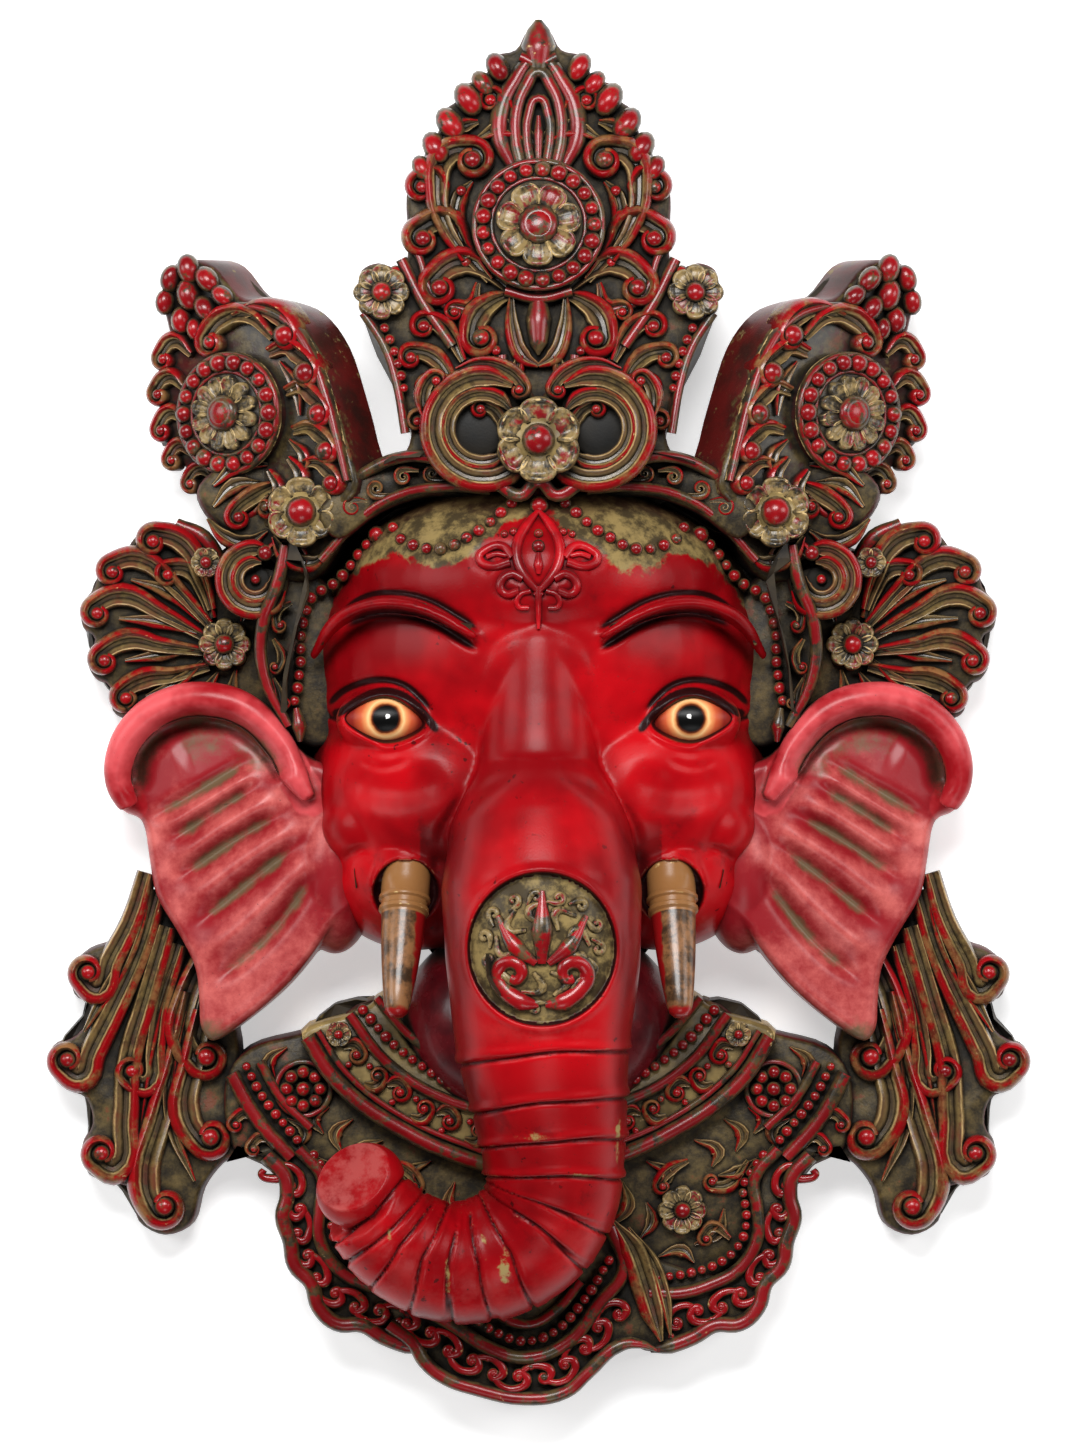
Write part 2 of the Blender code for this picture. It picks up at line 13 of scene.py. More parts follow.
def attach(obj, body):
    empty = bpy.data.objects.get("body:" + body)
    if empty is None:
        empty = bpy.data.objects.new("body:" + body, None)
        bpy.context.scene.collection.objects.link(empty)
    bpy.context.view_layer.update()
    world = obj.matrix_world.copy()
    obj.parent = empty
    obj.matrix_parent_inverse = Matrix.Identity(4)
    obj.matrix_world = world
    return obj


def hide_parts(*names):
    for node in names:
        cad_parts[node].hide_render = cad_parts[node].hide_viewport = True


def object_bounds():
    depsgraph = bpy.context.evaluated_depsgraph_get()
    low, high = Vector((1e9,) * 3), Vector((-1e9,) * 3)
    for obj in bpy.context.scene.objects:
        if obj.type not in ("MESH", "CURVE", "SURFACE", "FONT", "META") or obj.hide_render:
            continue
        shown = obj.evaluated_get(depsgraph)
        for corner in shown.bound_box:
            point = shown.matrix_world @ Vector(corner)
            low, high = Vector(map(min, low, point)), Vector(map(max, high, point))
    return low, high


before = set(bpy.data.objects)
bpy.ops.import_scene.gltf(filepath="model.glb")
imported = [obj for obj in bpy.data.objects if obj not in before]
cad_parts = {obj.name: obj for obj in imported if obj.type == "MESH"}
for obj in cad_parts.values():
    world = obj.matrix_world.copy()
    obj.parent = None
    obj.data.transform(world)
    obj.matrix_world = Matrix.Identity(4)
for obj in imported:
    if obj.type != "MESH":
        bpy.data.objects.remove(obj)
CAD_LOW, CAD_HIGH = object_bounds()

# Driving sizes
UNIT = (CAD_HIGH[1] - CAD_LOW[1]) / 464.6    # a little inside the solids' own reach
LEFT = -1
RIGHT = 1
SIDES = (LEFT, RIGHT)
SEED = 7

# Fineness
CLAY_GRAIN = 0.85            # cell of the modelled skins
STEPS_BETWEEN_POINTS = 5     # of a carved stroke
ROLL_STEPS = 14              # of a roll of clay, between its points
ROLL_SIDES = 22
FACE_TRIANGLES = 190000
EAR_TRIANGLES = 60000

# How much fuller the carved lines are than their drawn half widths, and their thin ends
FULLER_SCROLL = 1.4
FULLER_RIDGE = 1.3
FULLER_CURL = 1.45
THIN_END = 0.3

# Heights of the grounds above the flat back
HAIR_TOP = 19
SHAWL_TOP = 23
COLLAR_TOP = 29


# Small helpers

def link(name, data):
    """A new object in the scene."""
    item = bpy.data.objects.new(name, data)
    bpy.context.scene.collection.objects.link(item)
    return item


def twin(item, name=None):
    """A copy with a mesh of its own."""
    copy = item.copy()
    copy.data = item.data.copy()
    bpy.context.scene.collection.objects.link(copy)
    if name:
        copy.name = name
    return copy


def deselect():
    bpy.ops.object.select_all(action="DESELECT")


def active(item):
    """Select one object alone."""
    deselect()
    item.select_set(True)
    bpy.context.view_layer.objects.active = item
    return item


def join(items, name):
    """Join objects into one that sits at the origin."""
    deselect()
    for item in items:
        item.select_set(True)
    bpy.context.view_layer.objects.active = items[0]
    if len(items) > 1:
        bpy.ops.object.join()
    whole = bpy.context.view_layer.objects.active
    bpy.ops.object.transform_apply(location=True, rotation=True, scale=True)
    whole.name = name
    whole.data.name = name
    return whole


def corners(item):
    """Vertex places in units."""
    flat = np.empty(len(item.data.vertices) * 3)
    item.data.vertices.foreach_get("co", flat)
    return flat.reshape(-1, 3) / UNIT


def set_corners(item, places):
    item.data.vertices.foreach_set("co", (places * UNIT).ravel())
    item.data.update()


def normals(item):
    flat = np.empty(len(item.data.vertices) * 3)
    item.data.vertices.foreach_get("normal", flat)
    return flat.reshape(-1, 3)


def keep_value(item, name, values):
    """Store one number for each vertex, which a material can read."""
    made = item.data.attributes.get(name) or item.data.attributes.new(name, "FLOAT", "POINT")
    made.data.foreach_set("value", np.asarray(values, dtype=np.float32))


def smooth_line(points, steps=8, closed=False):
    """A smooth line through points, as an array."""
    knots = np.array(points, dtype=float)
    if closed:
        knots = np.vstack([knots[-1], knots, knots[0], knots[1]])
    else:
        knots = np.vstack([2 * knots[0] - knots[1], knots, 2 * knots[-1] - knots[-2]])
    line = []
    for a, b, c, d in zip(knots, knots[1:], knots[2:], knots[3:]):
        for step in range(steps):
            t = step / steps
            line.append(0.5 * (2 * b + (c - a) * t + (2 * a - 5 * b + 4 * c - d) * t * t
                               + (3 * b - a - 3 * c + d) * t ** 3))
    if not closed:
        line.append(knots[-2])
    return np.array(line)


def in_oval(places, middle, half_sizes):
    """Which places lie inside an oval, in plan."""
    return (((places[:, 0] - middle[0]) / half_sizes[0]) ** 2 + ((places[:, 1] - middle[1]) / half_sizes[1]) ** 2) < 1


def lengths_along(line):
    """How far along a line each of its points is."""
    return np.concatenate([[0], np.cumsum(np.linalg.norm(np.diff(line, axis=0), axis=1))])


def circle(centre, radius, count=16):
    """Points round a circle."""
    return [(centre[0] + radius * math.cos(turn), centre[1] + radius * math.sin(turn))
            for turn in (2 * math.pi * index / count for index in range(count))]


def spots(places, rows):
    """Soft patches in plan, each row its middle x and y, and how wide and high it is."""
    shares = np.zeros(len(places))
    for x, y, wide, high in rows:
        shares = np.maximum(shares, np.exp(-((places[:, 0] - x) / wide) ** 2 - ((places[:, 1] - y) / high) ** 2))
    return shares


def ease(low, high, values):
    """0 below low, 1 above high, smooth between."""
    share = np.clip((values - low) / (high - low), 0, 1)
    return share * share * (3 - 2 * share)


def mirrored(points, side):
    """Points as drawn for the right side, or their mirror."""
    return [(side * point[0], *point[1:]) for point in points]


# Carved strokes: a cross section drawn once and swept along smooth lines

def section(name, points):
    """A closed cross section, one unit to each side of its middle."""
    data = bpy.data.curves.new(name, "CURVE")
    data.dimensions = "2D"
    line = data.splines.new("POLY")
    line.points.add(len(points) - 1)
    for knot, (x, y) in zip(line.points, points):
        knot.co = (x * UNIT, y * UNIT, 0, 1)
    line.use_cyclic_u = True
    return link(name, data)


SCROLL_POINTS = [(-1, -2.2), (-1.03, -0.9), (-0.97, -0.3), (-0.78, 0.08), (-0.5, -0.02), (-0.2, -0.46),
                 (0.06, -0.42), (0.24, 0.06), (0.52, 0.46), (0.84, 0.28), (1.05, -0.45), (1, -2.2)]
RIDGE_POINTS = [(-1, -1.6), (-1, -0.45), (-0.86, 0.1), (-0.5, 0.46), (0, 0.6), (0.5, 0.46), (0.86, 0.1),
                (1, -0.45), (1, -1.6)]


def spread(widths, count):
    """Half widths for a number of points, from one or a few."""
    if not isinstance(widths, (list, tuple)):
        widths = [widths]
    return np.interp(np.linspace(0, 1, count), np.linspace(0, 1, len(widths)), widths)


def knotted_line(data, points, widths, height, steps, closed=False):
    """Add a smooth line to a curve, through (x, y) or (x, y, z) points."""
    line = data.splines.new("BEZIER")
    line.resolution_u = steps
    line.bezier_points.add(len(points) - 1)
    line.use_cyclic_u = closed
    for knot, point, width in zip(line.bezier_points, points, widths):
        rise = point[2] if len(point) > 2 else height
        knot.co = Vector((point[0], point[1], rise)) * UNIT
        knot.radius = width
        knot.handle_left_type = "AUTO"
        knot.handle_right_type = "AUTO"


class Strokes:
    """Lines to carve with one cross section."""

    def __init__(self, name, cut):
        self.data = bpy.data.curves.new(name, "CURVE")
        self.data.dimensions = "3D"
        self.data.twist_mode = "Z_UP"
        self.data.bevel_mode = "OBJECT"
        self.data.bevel_object = cut
        self.data.use_fill_caps = True
        self.count = 0

    def add(self, points, widths, height=0.0, closed=False):
        """One line through (x, y) or (x, y, z) points; widths are half widths, one or one a point."""
        knotted_line(self.data, points, spread(widths, len(points)), height, STEPS_BETWEEN_POINTS, closed)
        self.count += 1

    def mesh(self, material):
        """The carved lines as one mesh object."""
        self.data.materials.append(material)
        active(link(self.data.name, self.data))
        bpy.ops.object.convert(target="MESH")
        item = bpy.context.view_layer.objects.active
        item.data.shade_smooth()
        item.data.set_sharp_from_angle(angle=math.radians(50))
        return item


def curl(stem, centre, radius, hand, width, turns=1.05, start=0.4):
    """A stem that winds into a curl, and its half widths: hand 1 winds left, -1 winds right."""
    inner = max(radius - width, 0.44 * radius)
    away = Vector(stem[-1][:2]) - Vector(centre)
    reach = max(away.length, inner * 1.05)
    angle = math.atan2(away.y, away.x) + hand * math.acos(inner / reach)
    steps = max(5, round(8 * turns))
    line = list(stem)
    widths = [width * (start + (1.15 - start) * index / max(1, len(stem) - 1)) for index in range(len(stem))]
    for step in range(steps + 1):
        share = step / steps
        size = inner * (1 - 0.72 * share ** 1.2)
        bearing = angle + hand * 2 * math.pi * turns * share
        line.append((centre[0] + size * math.cos(bearing), centre[1] + size * math.sin(bearing)))
        widths.append(width * (1 - 0.4 * share))
    return line, widths


def carve_curl(strokes, height, stem, centre, radius, hand, width, turns, start):
    """Carve one curl, its red outer edge always on the same side of the cut."""
    line, widths = curl(stem, centre, radius, hand, width, turns, start)
    lift = [0.25 * max(0, index - len(stem)) / 8 for index in range(len(line))]
    line = [(x, y, height + rise) for (x, y), rise in zip(line, lift)]
    if hand < 0:
        line.reverse()
        widths.reverse()
    strokes.add(line, widths)


# Stamped ornaments: modelled once, copied with a mesh of their own

def bead_pattern():
    """A bead, squashed a little where it sits."""
    deselect()
    bpy.ops.mesh.primitive_uv_sphere_add(segments=14, ring_count=9, radius=UNIT)
    bead = bpy.context.view_layer.objects.active
    bpy.ops.object.shade_smooth()
    bead.name = "bead_pattern"
    return bead


def petal_pattern():
    """A petal, scooped along its middle and notched at its tip, pointing along X."""
    deselect()
    bpy.ops.mesh.primitive_grid_add(x_subdivisions=12, y_subdivisions=10, size=2)
    petal = bpy.context.view_layer.objects.active
    places = corners(petal) * UNIT
    x, y = places[:, 0].copy(), places[:, 1].copy()
    reach = 0.5 * (x + 1)
    half = 0.28 + 0.72 * np.sin(np.pi * np.clip(reach * 0.62 + 0.12, 0, 1)) ** 1.2
    round_end = np.sqrt(np.clip(1 - (y * 0.82) ** 2, 0, 1))
    places[:, 0] = reach * (0.35 + 0.65 * round_end)
    places[:, 1] = y * half * 0.55
    edge = np.abs(y)
    rim = np.exp(-((edge - 0.78) / 0.2) ** 2) + np.exp(-((reach - 0.86) / 0.12) ** 2)
    scoop = np.cos(y * 3 * np.pi) * 0.025 * (edge < 0.7)
    places[:, 2] = 0.18 + 0.2 * np.clip(rim, 0, 1) + scoop + 0.12 * np.sin(np.pi * reach)
    fall = (edge > 0.99) | (x > 0.99) | (x < -0.99)
    places[fall, 2] = -0.6
    set_corners(petal, places)
    bpy.ops.object.shade_smooth()
    petal.name = "petal_pattern"
    return petal


def stamp(pattern, place, size, turn=0.0, flat=1.0, long=1.0):
    """A copy of a pattern at a place, turned in plan by radians."""
    copy = twin(pattern)
    copy.matrix_world = (Matrix.Translation(Vector(place) * UNIT) @ Matrix.Rotation(turn, 4, "Z")
                         @ Matrix.Diagonal((size * long, size, size * flat, 1)))
    return copy


def bead_row(pattern, points, size, gap, height):
    """Beads side by side along a smooth line."""
    line = smooth_line(points, 12)
    lengths = lengths_along(line)
    count = max(2, round(lengths[-1] / gap))
    rng = np.random.default_rng(SEED + count)
    row = []
    for index in range(count + 1):
        at = lengths[-1] * index / count
        x = np.interp(at, lengths, line[:, 0])
        y = np.interp(at, lengths, line[:, 1])
        big = size * (1 + 0.08 * rng.standard_normal())
        row.append(stamp(pattern, (x, y, height), big, flat=0.8))
    return row


# Plates: a flat outline raised with sloping walls and a soft edge

def plate(name, outline, bottom, top, slope, soft):
    """A raised flat form: its outline at the bottom, its walls leaning in by slope."""
    line = smooth_line(outline, 4, closed=True)
    mesh = bpy.data.meshes.new(name)
    mesh.from_pydata([(x * UNIT, y * UNIT, bottom * UNIT) for x, y in line], [], [range(len(line))])
    item = active(link(name, mesh))
    bpy.ops.object.mode_set(mode="EDIT")
    bpy.ops.mesh.select_all(action="SELECT")
    bpy.ops.mesh.normals_make_consistent(inside=False)
    bpy.ops.object.mode_set(mode="OBJECT")
    if mesh.polygons[0].normal.z < 0:
        mesh.flip_normals()
    bpy.ops.object.mode_set(mode="EDIT")
    bpy.ops.mesh.select_all(action="SELECT")
    rise = top - bottom - soft
    bpy.ops.mesh.inset(thickness=slope * UNIT, depth=rise * UNIT)
    for share in (0.5, 0.35, 0.15):
        bpy.ops.mesh.inset(thickness=0.34 * soft * UNIT, depth=share * soft * UNIT)
    bpy.ops.mesh.select_all(action="SELECT")
    bpy.ops.mesh.fill_holes(sides=0)
    bpy.ops.object.mode_set(mode="OBJECT")
    item.data.shade_smooth()
    item.data.set_sharp_from_angle(angle=math.radians(60))
    return item


# Clay: rounded forms joined and melted into one skin, then cut with a chisel

def ball(place, radii, turn=0.0, tip=0.0):
    """An ellipsoid of clay, turned in plan by degrees."""
    deselect()
    bpy.ops.mesh.primitive_uv_sphere_add(
        segments=48, ring_count=24, radius=1, location=Vector(place) * UNIT,
        rotation=(math.radians(tip), 0, math.radians(turn)), scale=Vector(radii) * UNIT)
    return bpy.context.view_layer.objects.active


def roll(points, widths):
    """A round roll of clay along a line of (x, y, z) points."""
    data = bpy.data.curves.new("roll", "CURVE")
    data.dimensions = "3D"
    data.bevel_depth = UNIT
    data.bevel_resolution = ROLL_SIDES
    data.use_fill_caps = True
    data.twist_mode = "Z_UP"
    knotted_line(data, points, spread(widths, len(points)), 0, ROLL_STEPS)
    active(link("roll", data))
    bpy.ops.object.convert(target="MESH")
    return bpy.context.view_layer.objects.active


def melt(name, items, rounds, cut_below, grain=CLAY_GRAIN):
    """Melt forms into one smooth skin, cut off flat below a height."""
    skin = active(join(items, name))
    remesh = skin.modifiers.new("melt", "REMESH")
    remesh.mode = "VOXEL"
    remesh.voxel_size = grain * UNIT
    soften = skin.modifiers.new("soften", "SMOOTH")
    soften.factor = 0.5
    soften.iterations = rounds
    for modifier in ("melt", "soften"):
        bpy.ops.object.modifier_apply(modifier=modifier)
    bpy.ops.object.mode_set(mode="EDIT")
    bpy.ops.mesh.select_all(action="SELECT")
    bpy.ops.mesh.bisect(plane_co=(0, 0, cut_below * UNIT), plane_no=(0, 0, 1), clear_inner=True, use_fill=True)
    bpy.ops.object.mode_set(mode="OBJECT")
    return skin


def thin(item, faces):
    """Thin a skin to a number of triangles, keeping its creases."""
    active(item)
    now = sum(len(face.vertices) - 2 for face in item.data.polygons)
    if now > faces:
        modifier = item.modifiers.new("thin", "DECIMATE")
        modifier.ratio = faces / now
        bpy.ops.object.modifier_apply(modifier="thin")
    item.data.shade_smooth()


class Chisel:
    """Cuts and ridges along lines drawn on the face of a skin, and how dark each place is to be painted: shade on the
    face, olive on the ears.
    """

    def __init__(self, item):
        self.item = item
        self.places = corners(item)
        self.facing = ease(-0.1, 0.35, normals(item)[:, 2])
        self.dark = np.zeros(len(self.places))

    def off_line(self, points, closed=False):
        """Distance from a line, side of it (left is positive) and share along it, for each vertex."""
        line = smooth_line([point[:2] for point in points], 6, closed)
        if closed:
            line = np.vstack([line, line[:1]])
        flat = self.places[:, :2]
        near = np.full(len(flat), 1e9)
        side = np.zeros(len(flat))
        along = np.zeros(len(flat))
        for index, (start, end) in enumerate(zip(line, line[1:])):
            run = end - start
            size = max(run @ run, 1e-9)
            share = np.clip(((flat - start) @ run) / size, 0, 1)
            gap = flat - start - share[:, None] * run
            away = np.hypot(gap[:, 0], gap[:, 1])
            closer = away < near
            near[closer] = away[closer]
            side[closer] = np.sign(run[0] * gap[closer, 1] - run[1] * gap[closer, 0])
            along[closer] = (index + share[closer]) / (len(line) - 1)
        return near, side, along

    def ridge(self, points, width, height, taper=0.12, shade=0.0, power=2.0):
        """Raise, or with a negative height cut, a soft line."""
        near, _, along = self.off_line(points)
        ends = ease(0, taper, along) * ease(0, taper, 1 - along) if taper else 1
        shape = np.exp(-(near / width) ** power) * ends * self.facing
        self.places[:, 2] += height * shape
        self.dark = np.maximum(self.dark, shade * shape)

    def done(self):
        set_corners(self.item, self.places)
        return self.item


# Finishes

def linear(red, green, blue):
    """A screen colour as the shader wants it."""
    return (*(((value / 255 + 0.055) / 1.055) ** 2.4 if value > 10 else value / 255 / 12.92
              for value in (red, green, blue)), 1)


WALL_RED = linear(84, 20, 18)
OLIVE = linear(124, 108, 66)
BRONZE = linear(150, 128, 80)
BLACK = linear(30, 27, 22)
CREAM = linear(214, 184, 124)


def place_node(tree, kind, inputs=None, **settings):
    """Add a node, with its settings, and values or links for its inputs."""
    made = tree.nodes.new(kind)
    for name, value in settings.items():
        setattr(made, name, value)
    for name, value in (inputs or {}).items():
        if isinstance(value, bpy.types.NodeSocket):
            tree.links.new(value, made.inputs[name])
        else:
            made.inputs[name].default_value = value
    return made


def between(tree, share, first, second):
    """A colour between two by a share."""
    made = tree.nodes.new("ShaderNodeMix")
    made.data_type = "RGBA"
    for index, value in ((0, share), (6, first), (7, second)):
        if isinstance(value, bpy.types.NodeSocket):
            tree.links.new(value, made.inputs[index])
        else:
            made.inputs[index].default_value = value
    return made.outputs[2]


def sums(tree, operation, first, second):
    """One step of arithmetic."""
    return place_node(tree, "ShaderNodeMath", {0: first, 1: second}, operation=operation).outputs[0]


def step_up(tree, value, low, high, bottom=0.0, top=1.0):
    """A smooth rise between two values."""
    return place_node(tree, "ShaderNodeMapRange", {"Value": value, "From Min": low, "From Max": high,
                                                   "To Min": bottom, "To Max": top},
                      interpolation_type="SMOOTHSTEP").outputs[0]


def noise(tree, scale, detail=3.0, rough=0.55, stretch=None):
    """Noise over the object, scale in cycles a metre."""
    spot = place_node(tree, "ShaderNodeTexCoord").outputs["Object"]
    if stretch:
        spot = place_node(tree, "ShaderNodeMapping", {"Vector": spot, "Scale": stretch[:3],
                                                      "Rotation": (0, 0, stretch[3])}).outputs[0]
    return place_node(tree, "ShaderNodeTexNoise", {"Vector": spot, "Scale": scale, "Detail": detail,
                                                   "Roughness": rough}).outputs["Fac"]


def shared_effect(name, inputs, outputs, build):
    """A node group with named inputs and outputs."""
    group = bpy.data.node_groups.new(name, "ShaderNodeTree")
    for socket, value in inputs.items():
        made = group.interface.new_socket(socket, in_out="INPUT", socket_type="NodeSocketFloat")
        made.default_value = value
    for socket in outputs:
        group.interface.new_socket(socket, in_out="OUTPUT", socket_type="NodeSocketFloat")
    given = group.nodes.new("NodeGroupInput")
    result = group.nodes.new("NodeGroupOutput")
    for socket, value in build(group, given.outputs).items():
        group.links.new(value, result.inputs[socket])
    return group


def build_grime_and_shade(tree, given):
    """Dirt that lies where the carving is deep, and painted shade there: the more shut in a place is, the darker."""
    open_sky = place_node(tree, "ShaderNodeAmbientOcclusion", {"Distance": given["Reach"]}, samples=8)
    shut = sums(tree, "SUBTRACT", 1.0, open_sky.outputs["AO"])
    uneven = sums(tree, "MULTIPLY", sums(tree, "SUBTRACT", noise(tree, 420), 0.5), 0.35)
    mask = step_up(tree, sums(tree, "ADD", shut, uneven), given["Start"], sums(tree, "ADD", given["Start"], 0.42))
    return {"DirtAndShade": mask}


def build_wear(tree, given):
    """Paint gone from the edges, and chips out of the flats."""
    edge = place_node(tree, "ShaderNodeAttribute", attribute_name="edge").outputs["Fac"]
    ragged = sums(tree, "MULTIPLY", sums(tree, "SUBTRACT", noise(tree, 260, 5, 0.7), 0.5), 0.9)
    rubbed = step_up(tree, sums(tree, "ADD", edge, ragged), given["Edge"], sums(tree, "ADD", given["Edge"], 0.1))
    patch = step_up(tree, noise(tree, 34, 2, 0.5), 0.42, 0.62)
    flecks = step_up(tree, noise(tree, 900, 4, 0.72), given["Chip"], sums(tree, "ADD", given["Chip"], 0.03))
    return {"Rubbed": rubbed, "Chips": sums(tree, "MULTIPLY", flecks, patch)}


def build_brushing(tree, given):
    """Uneven brushed paint: broad cloudiness and a fine grain."""
    broad = noise(tree, given["Scale"], 4, 0.6)
    fine = noise(tree, 1400, 3, 0.6)
    scratch = noise(tree, 300, 2, 0.5, (1, 14, 1, 0.7))
    lines = step_up(tree, scratch, 0.73, 0.77)
    return {"Cloud": step_up(tree, broad, 0.34, 0.66), "Grain": fine, "Scratches": lines}


# Dirt and painted shade: darker where the surface is shut in by its neighbours.
GRIME_AND_SHADE = shared_effect("grime_and_shade", {"Reach": 0.006, "Start": 0.42}, ("DirtAndShade",), build_grime_and_shade)
WEAR = shared_effect("wear", {"Edge": 0.35, "Chip": 0.7}, ("Rubbed", "Chips"), build_wear)
BRUSHING = shared_effect("brushing", {"Scale": 60.0}, ("Cloud", "Grain", "Scratches"), build_brushing)


def effect(tree, group, inputs):
    """A shared effect with its own values, as named outputs."""
    made = tree.nodes.new("ShaderNodeGroup")
    made.node_tree = group
    for name, value in inputs.items():
        made.inputs[name].default_value = value
    return made.outputs


def attribute(tree, name):
    return place_node(tree, "ShaderNodeAttribute", attribute_name=name).outputs["Fac"]


def shaken(tree, value, pattern, amount):
    """A value with a pattern's ups and downs added."""
    return sums(tree, "ADD", value, sums(tree, "MULTIPLY", sums(tree, "SUBTRACT", pattern, 0.5), amount))


def banded(tree, value, stops):
    """Colours in bands along a value."""
    ramp = place_node(tree, "ShaderNodeValToRGB", {"Fac": value})
    entries = ramp.color_ramp.elements
    while len(entries) < len(stops):
        entries.new(0.5)
    for entry, (place, colour) in zip(entries, stops):
        entry.position = place
        entry.color = colour
    return ramp.outputs["Color"]


def upward(tree, low, high):
    """How far a surface faces up, with an uneven border."""
    way = place_node(tree, "ShaderNodeSeparateXYZ",
                     {0: place_node(tree, "ShaderNodeNewGeometry").outputs["Normal"]}).outputs["Z"]
    return step_up(tree, shaken(tree, way, noise(tree, 300, 3), 0.5), low, high)


def paint(name, colours, grime_and_shade=0.006, grime_and_shade_start=0.42, edge=0.35, chip=0.7, worn=CREAM, dirt_and_shade_colour=BLACK,
          rough=(0.26, 0.5), coat=0.3, bump=0.25, cloud=60.0, dirt_and_shade_strength=1.0, specular=0.28):
    """A worn lacquer: colours gives its clean colour, the rest is shared wear, with dirt and painted shade in the
    hollows.
    """
    material = bpy.data.materials.new(name)
    material.use_nodes = True
    tree = material.node_tree
    shader = tree.nodes["Principled BSDF"]
    brushed = effect(tree, BRUSHING, {"Scale": cloud})
    worn_off = effect(tree, WEAR, {"Edge": edge, "Chip": chip})
    dirt_and_shade = sums(tree, "MULTIPLY", effect(tree, GRIME_AND_SHADE, {"Reach": grime_and_shade * UNIT * 1000, "Start": grime_and_shade_start})["DirtAndShade"],
                 dirt_and_shade_strength)
    colour = colours(tree, brushed)
    colour = between(tree, sums(tree, "MULTIPLY", worn_off["Chips"], 0.85), colour, BLACK)
    colour = between(tree, sums(tree, "MULTIPLY", worn_off["Rubbed"], 0.9), colour, worn)
    # Dirt and painted shade darken the hollows.
    colour = between(tree, dirt_and_shade, colour, dirt_and_shade_colour)
    tree.links.new(colour, shader.inputs["Base Color"])
    dull = sums(tree, "MAXIMUM", sums(tree, "MAXIMUM", worn_off["Rubbed"], worn_off["Chips"]), dirt_and_shade)
    shine = step_up(tree, sums(tree, "ADD", sums(tree, "MULTIPLY", brushed["Cloud"], 0.3), dull), 0.0, 1.2, *rough)
    tree.links.new(shine, shader.inputs["Roughness"])
    height = sums(tree, "SUBTRACT", sums(tree, "MULTIPLY", brushed["Grain"], 0.3),
                  sums(tree, "ADD", worn_off["Chips"], sums(tree, "MULTIPLY", brushed["Scratches"], 0.3)))
    relief = place_node(tree, "ShaderNodeBump",
                        {"Height": height, "Strength": bump, "Distance": 0.0006 * UNIT * 1000})
    tree.links.new(relief.outputs[0], shader.inputs["Normal"])
    shader.inputs["Specular IOR Level"].default_value = specular
    shader.inputs["Coat Weight"].default_value = coat
    shader.inputs["Coat Roughness"].default_value = 0.18
    return material


def clouded(light, dark):
    """Plain paint between two shades."""
    return lambda tree, brushed: between(tree, brushed["Cloud"], dark, light)


def head_colours(tree, brushed):
    """Red face, olive under the bead swags, near-black painted shade in the cuts and creases, paler pink of worn paint
    and painted sheen.
    """
    red = between(tree, brushed["Cloud"], linear(124, 5, 12), linear(190, 8, 19))
    smudge = sums(tree, "MULTIPLY", step_up(tree, noise(tree, 48, 6, 0.74), 0.56, 0.68), 0.36)
    red = between(tree, smudge, red, linear(70, 10, 14))
    specks = sums(tree, "MULTIPLY", step_up(tree, noise(tree, 330, 2, 0.5), 0.69, 0.72),
                  step_up(tree, noise(tree, 22, 2, 0.5), 0.46, 0.56))
    red = between(tree, sums(tree, "MULTIPLY", specks, 0.8), red, linear(46, 10, 10))
    # Paler pink: partly worn paint, partly painted sheen.
    rubbed = sums(tree, "MULTIPLY", attribute(tree, "pale"), step_up(tree, noise(tree, 90, 5, 0.7), 0.4, 0.6))
    red = between(tree, rubbed, red, linear(196, 92, 88))
    # Near black where the chisel painted shade: in the cuts and creases, under the brows, in the sockets, on the
    # trunk's flanks and low down on it.
    painted_shade = attribute(tree, "cut")
    red = between(tree, step_up(tree, painted_shade, 0.1, 0.75), red, linear(34, 8, 9))
    under = step_up(tree, shaken(tree, attribute(tree, "cap"), noise(tree, 60, 5, 0.62), 24.0), -1.0, 1.0)
    cap = between(tree, step_up(tree, noise(tree, 130, 5, 0.7), 0.4, 0.62), linear(66, 56, 38), linear(138, 118, 74))
    red = between(tree, under, red, cap)
    gold = step_up(tree, shaken(tree, attribute(tree, "gold"), noise(tree, 150, 5, 0.7), 1.0), 0.45, 0.6)
    return between(tree, gold, red, BRONZE)


def ear_colours(tree, brushed):
    """Pinkish red, paler on the fold ridges and the lower ear, partly worn paint and partly painted sheen; olive in the
    dish and the folds, clear red on the rim.
    """
    share = shaken(tree, attribute(tree, "pale"), noise(tree, 60, 6, 0.72), 3.0)
    pale = between(tree, step_up(tree, share, 0.0, 1.5), linear(140, 24, 32), linear(208, 104, 98))
    red = between(tree, step_up(tree, attribute(tree, "rim"), 0.25, 0.7), pale,
                  between(tree, brushed["Cloud"], linear(150, 14, 24), linear(212, 82, 86)))
    olive = step_up(tree, shaken(tree, attribute(tree, "cut"), noise(tree, 110, 5, 0.7), 1.1), 0.32, 0.78)
    return between(tree, olive, red, linear(104, 84, 60))


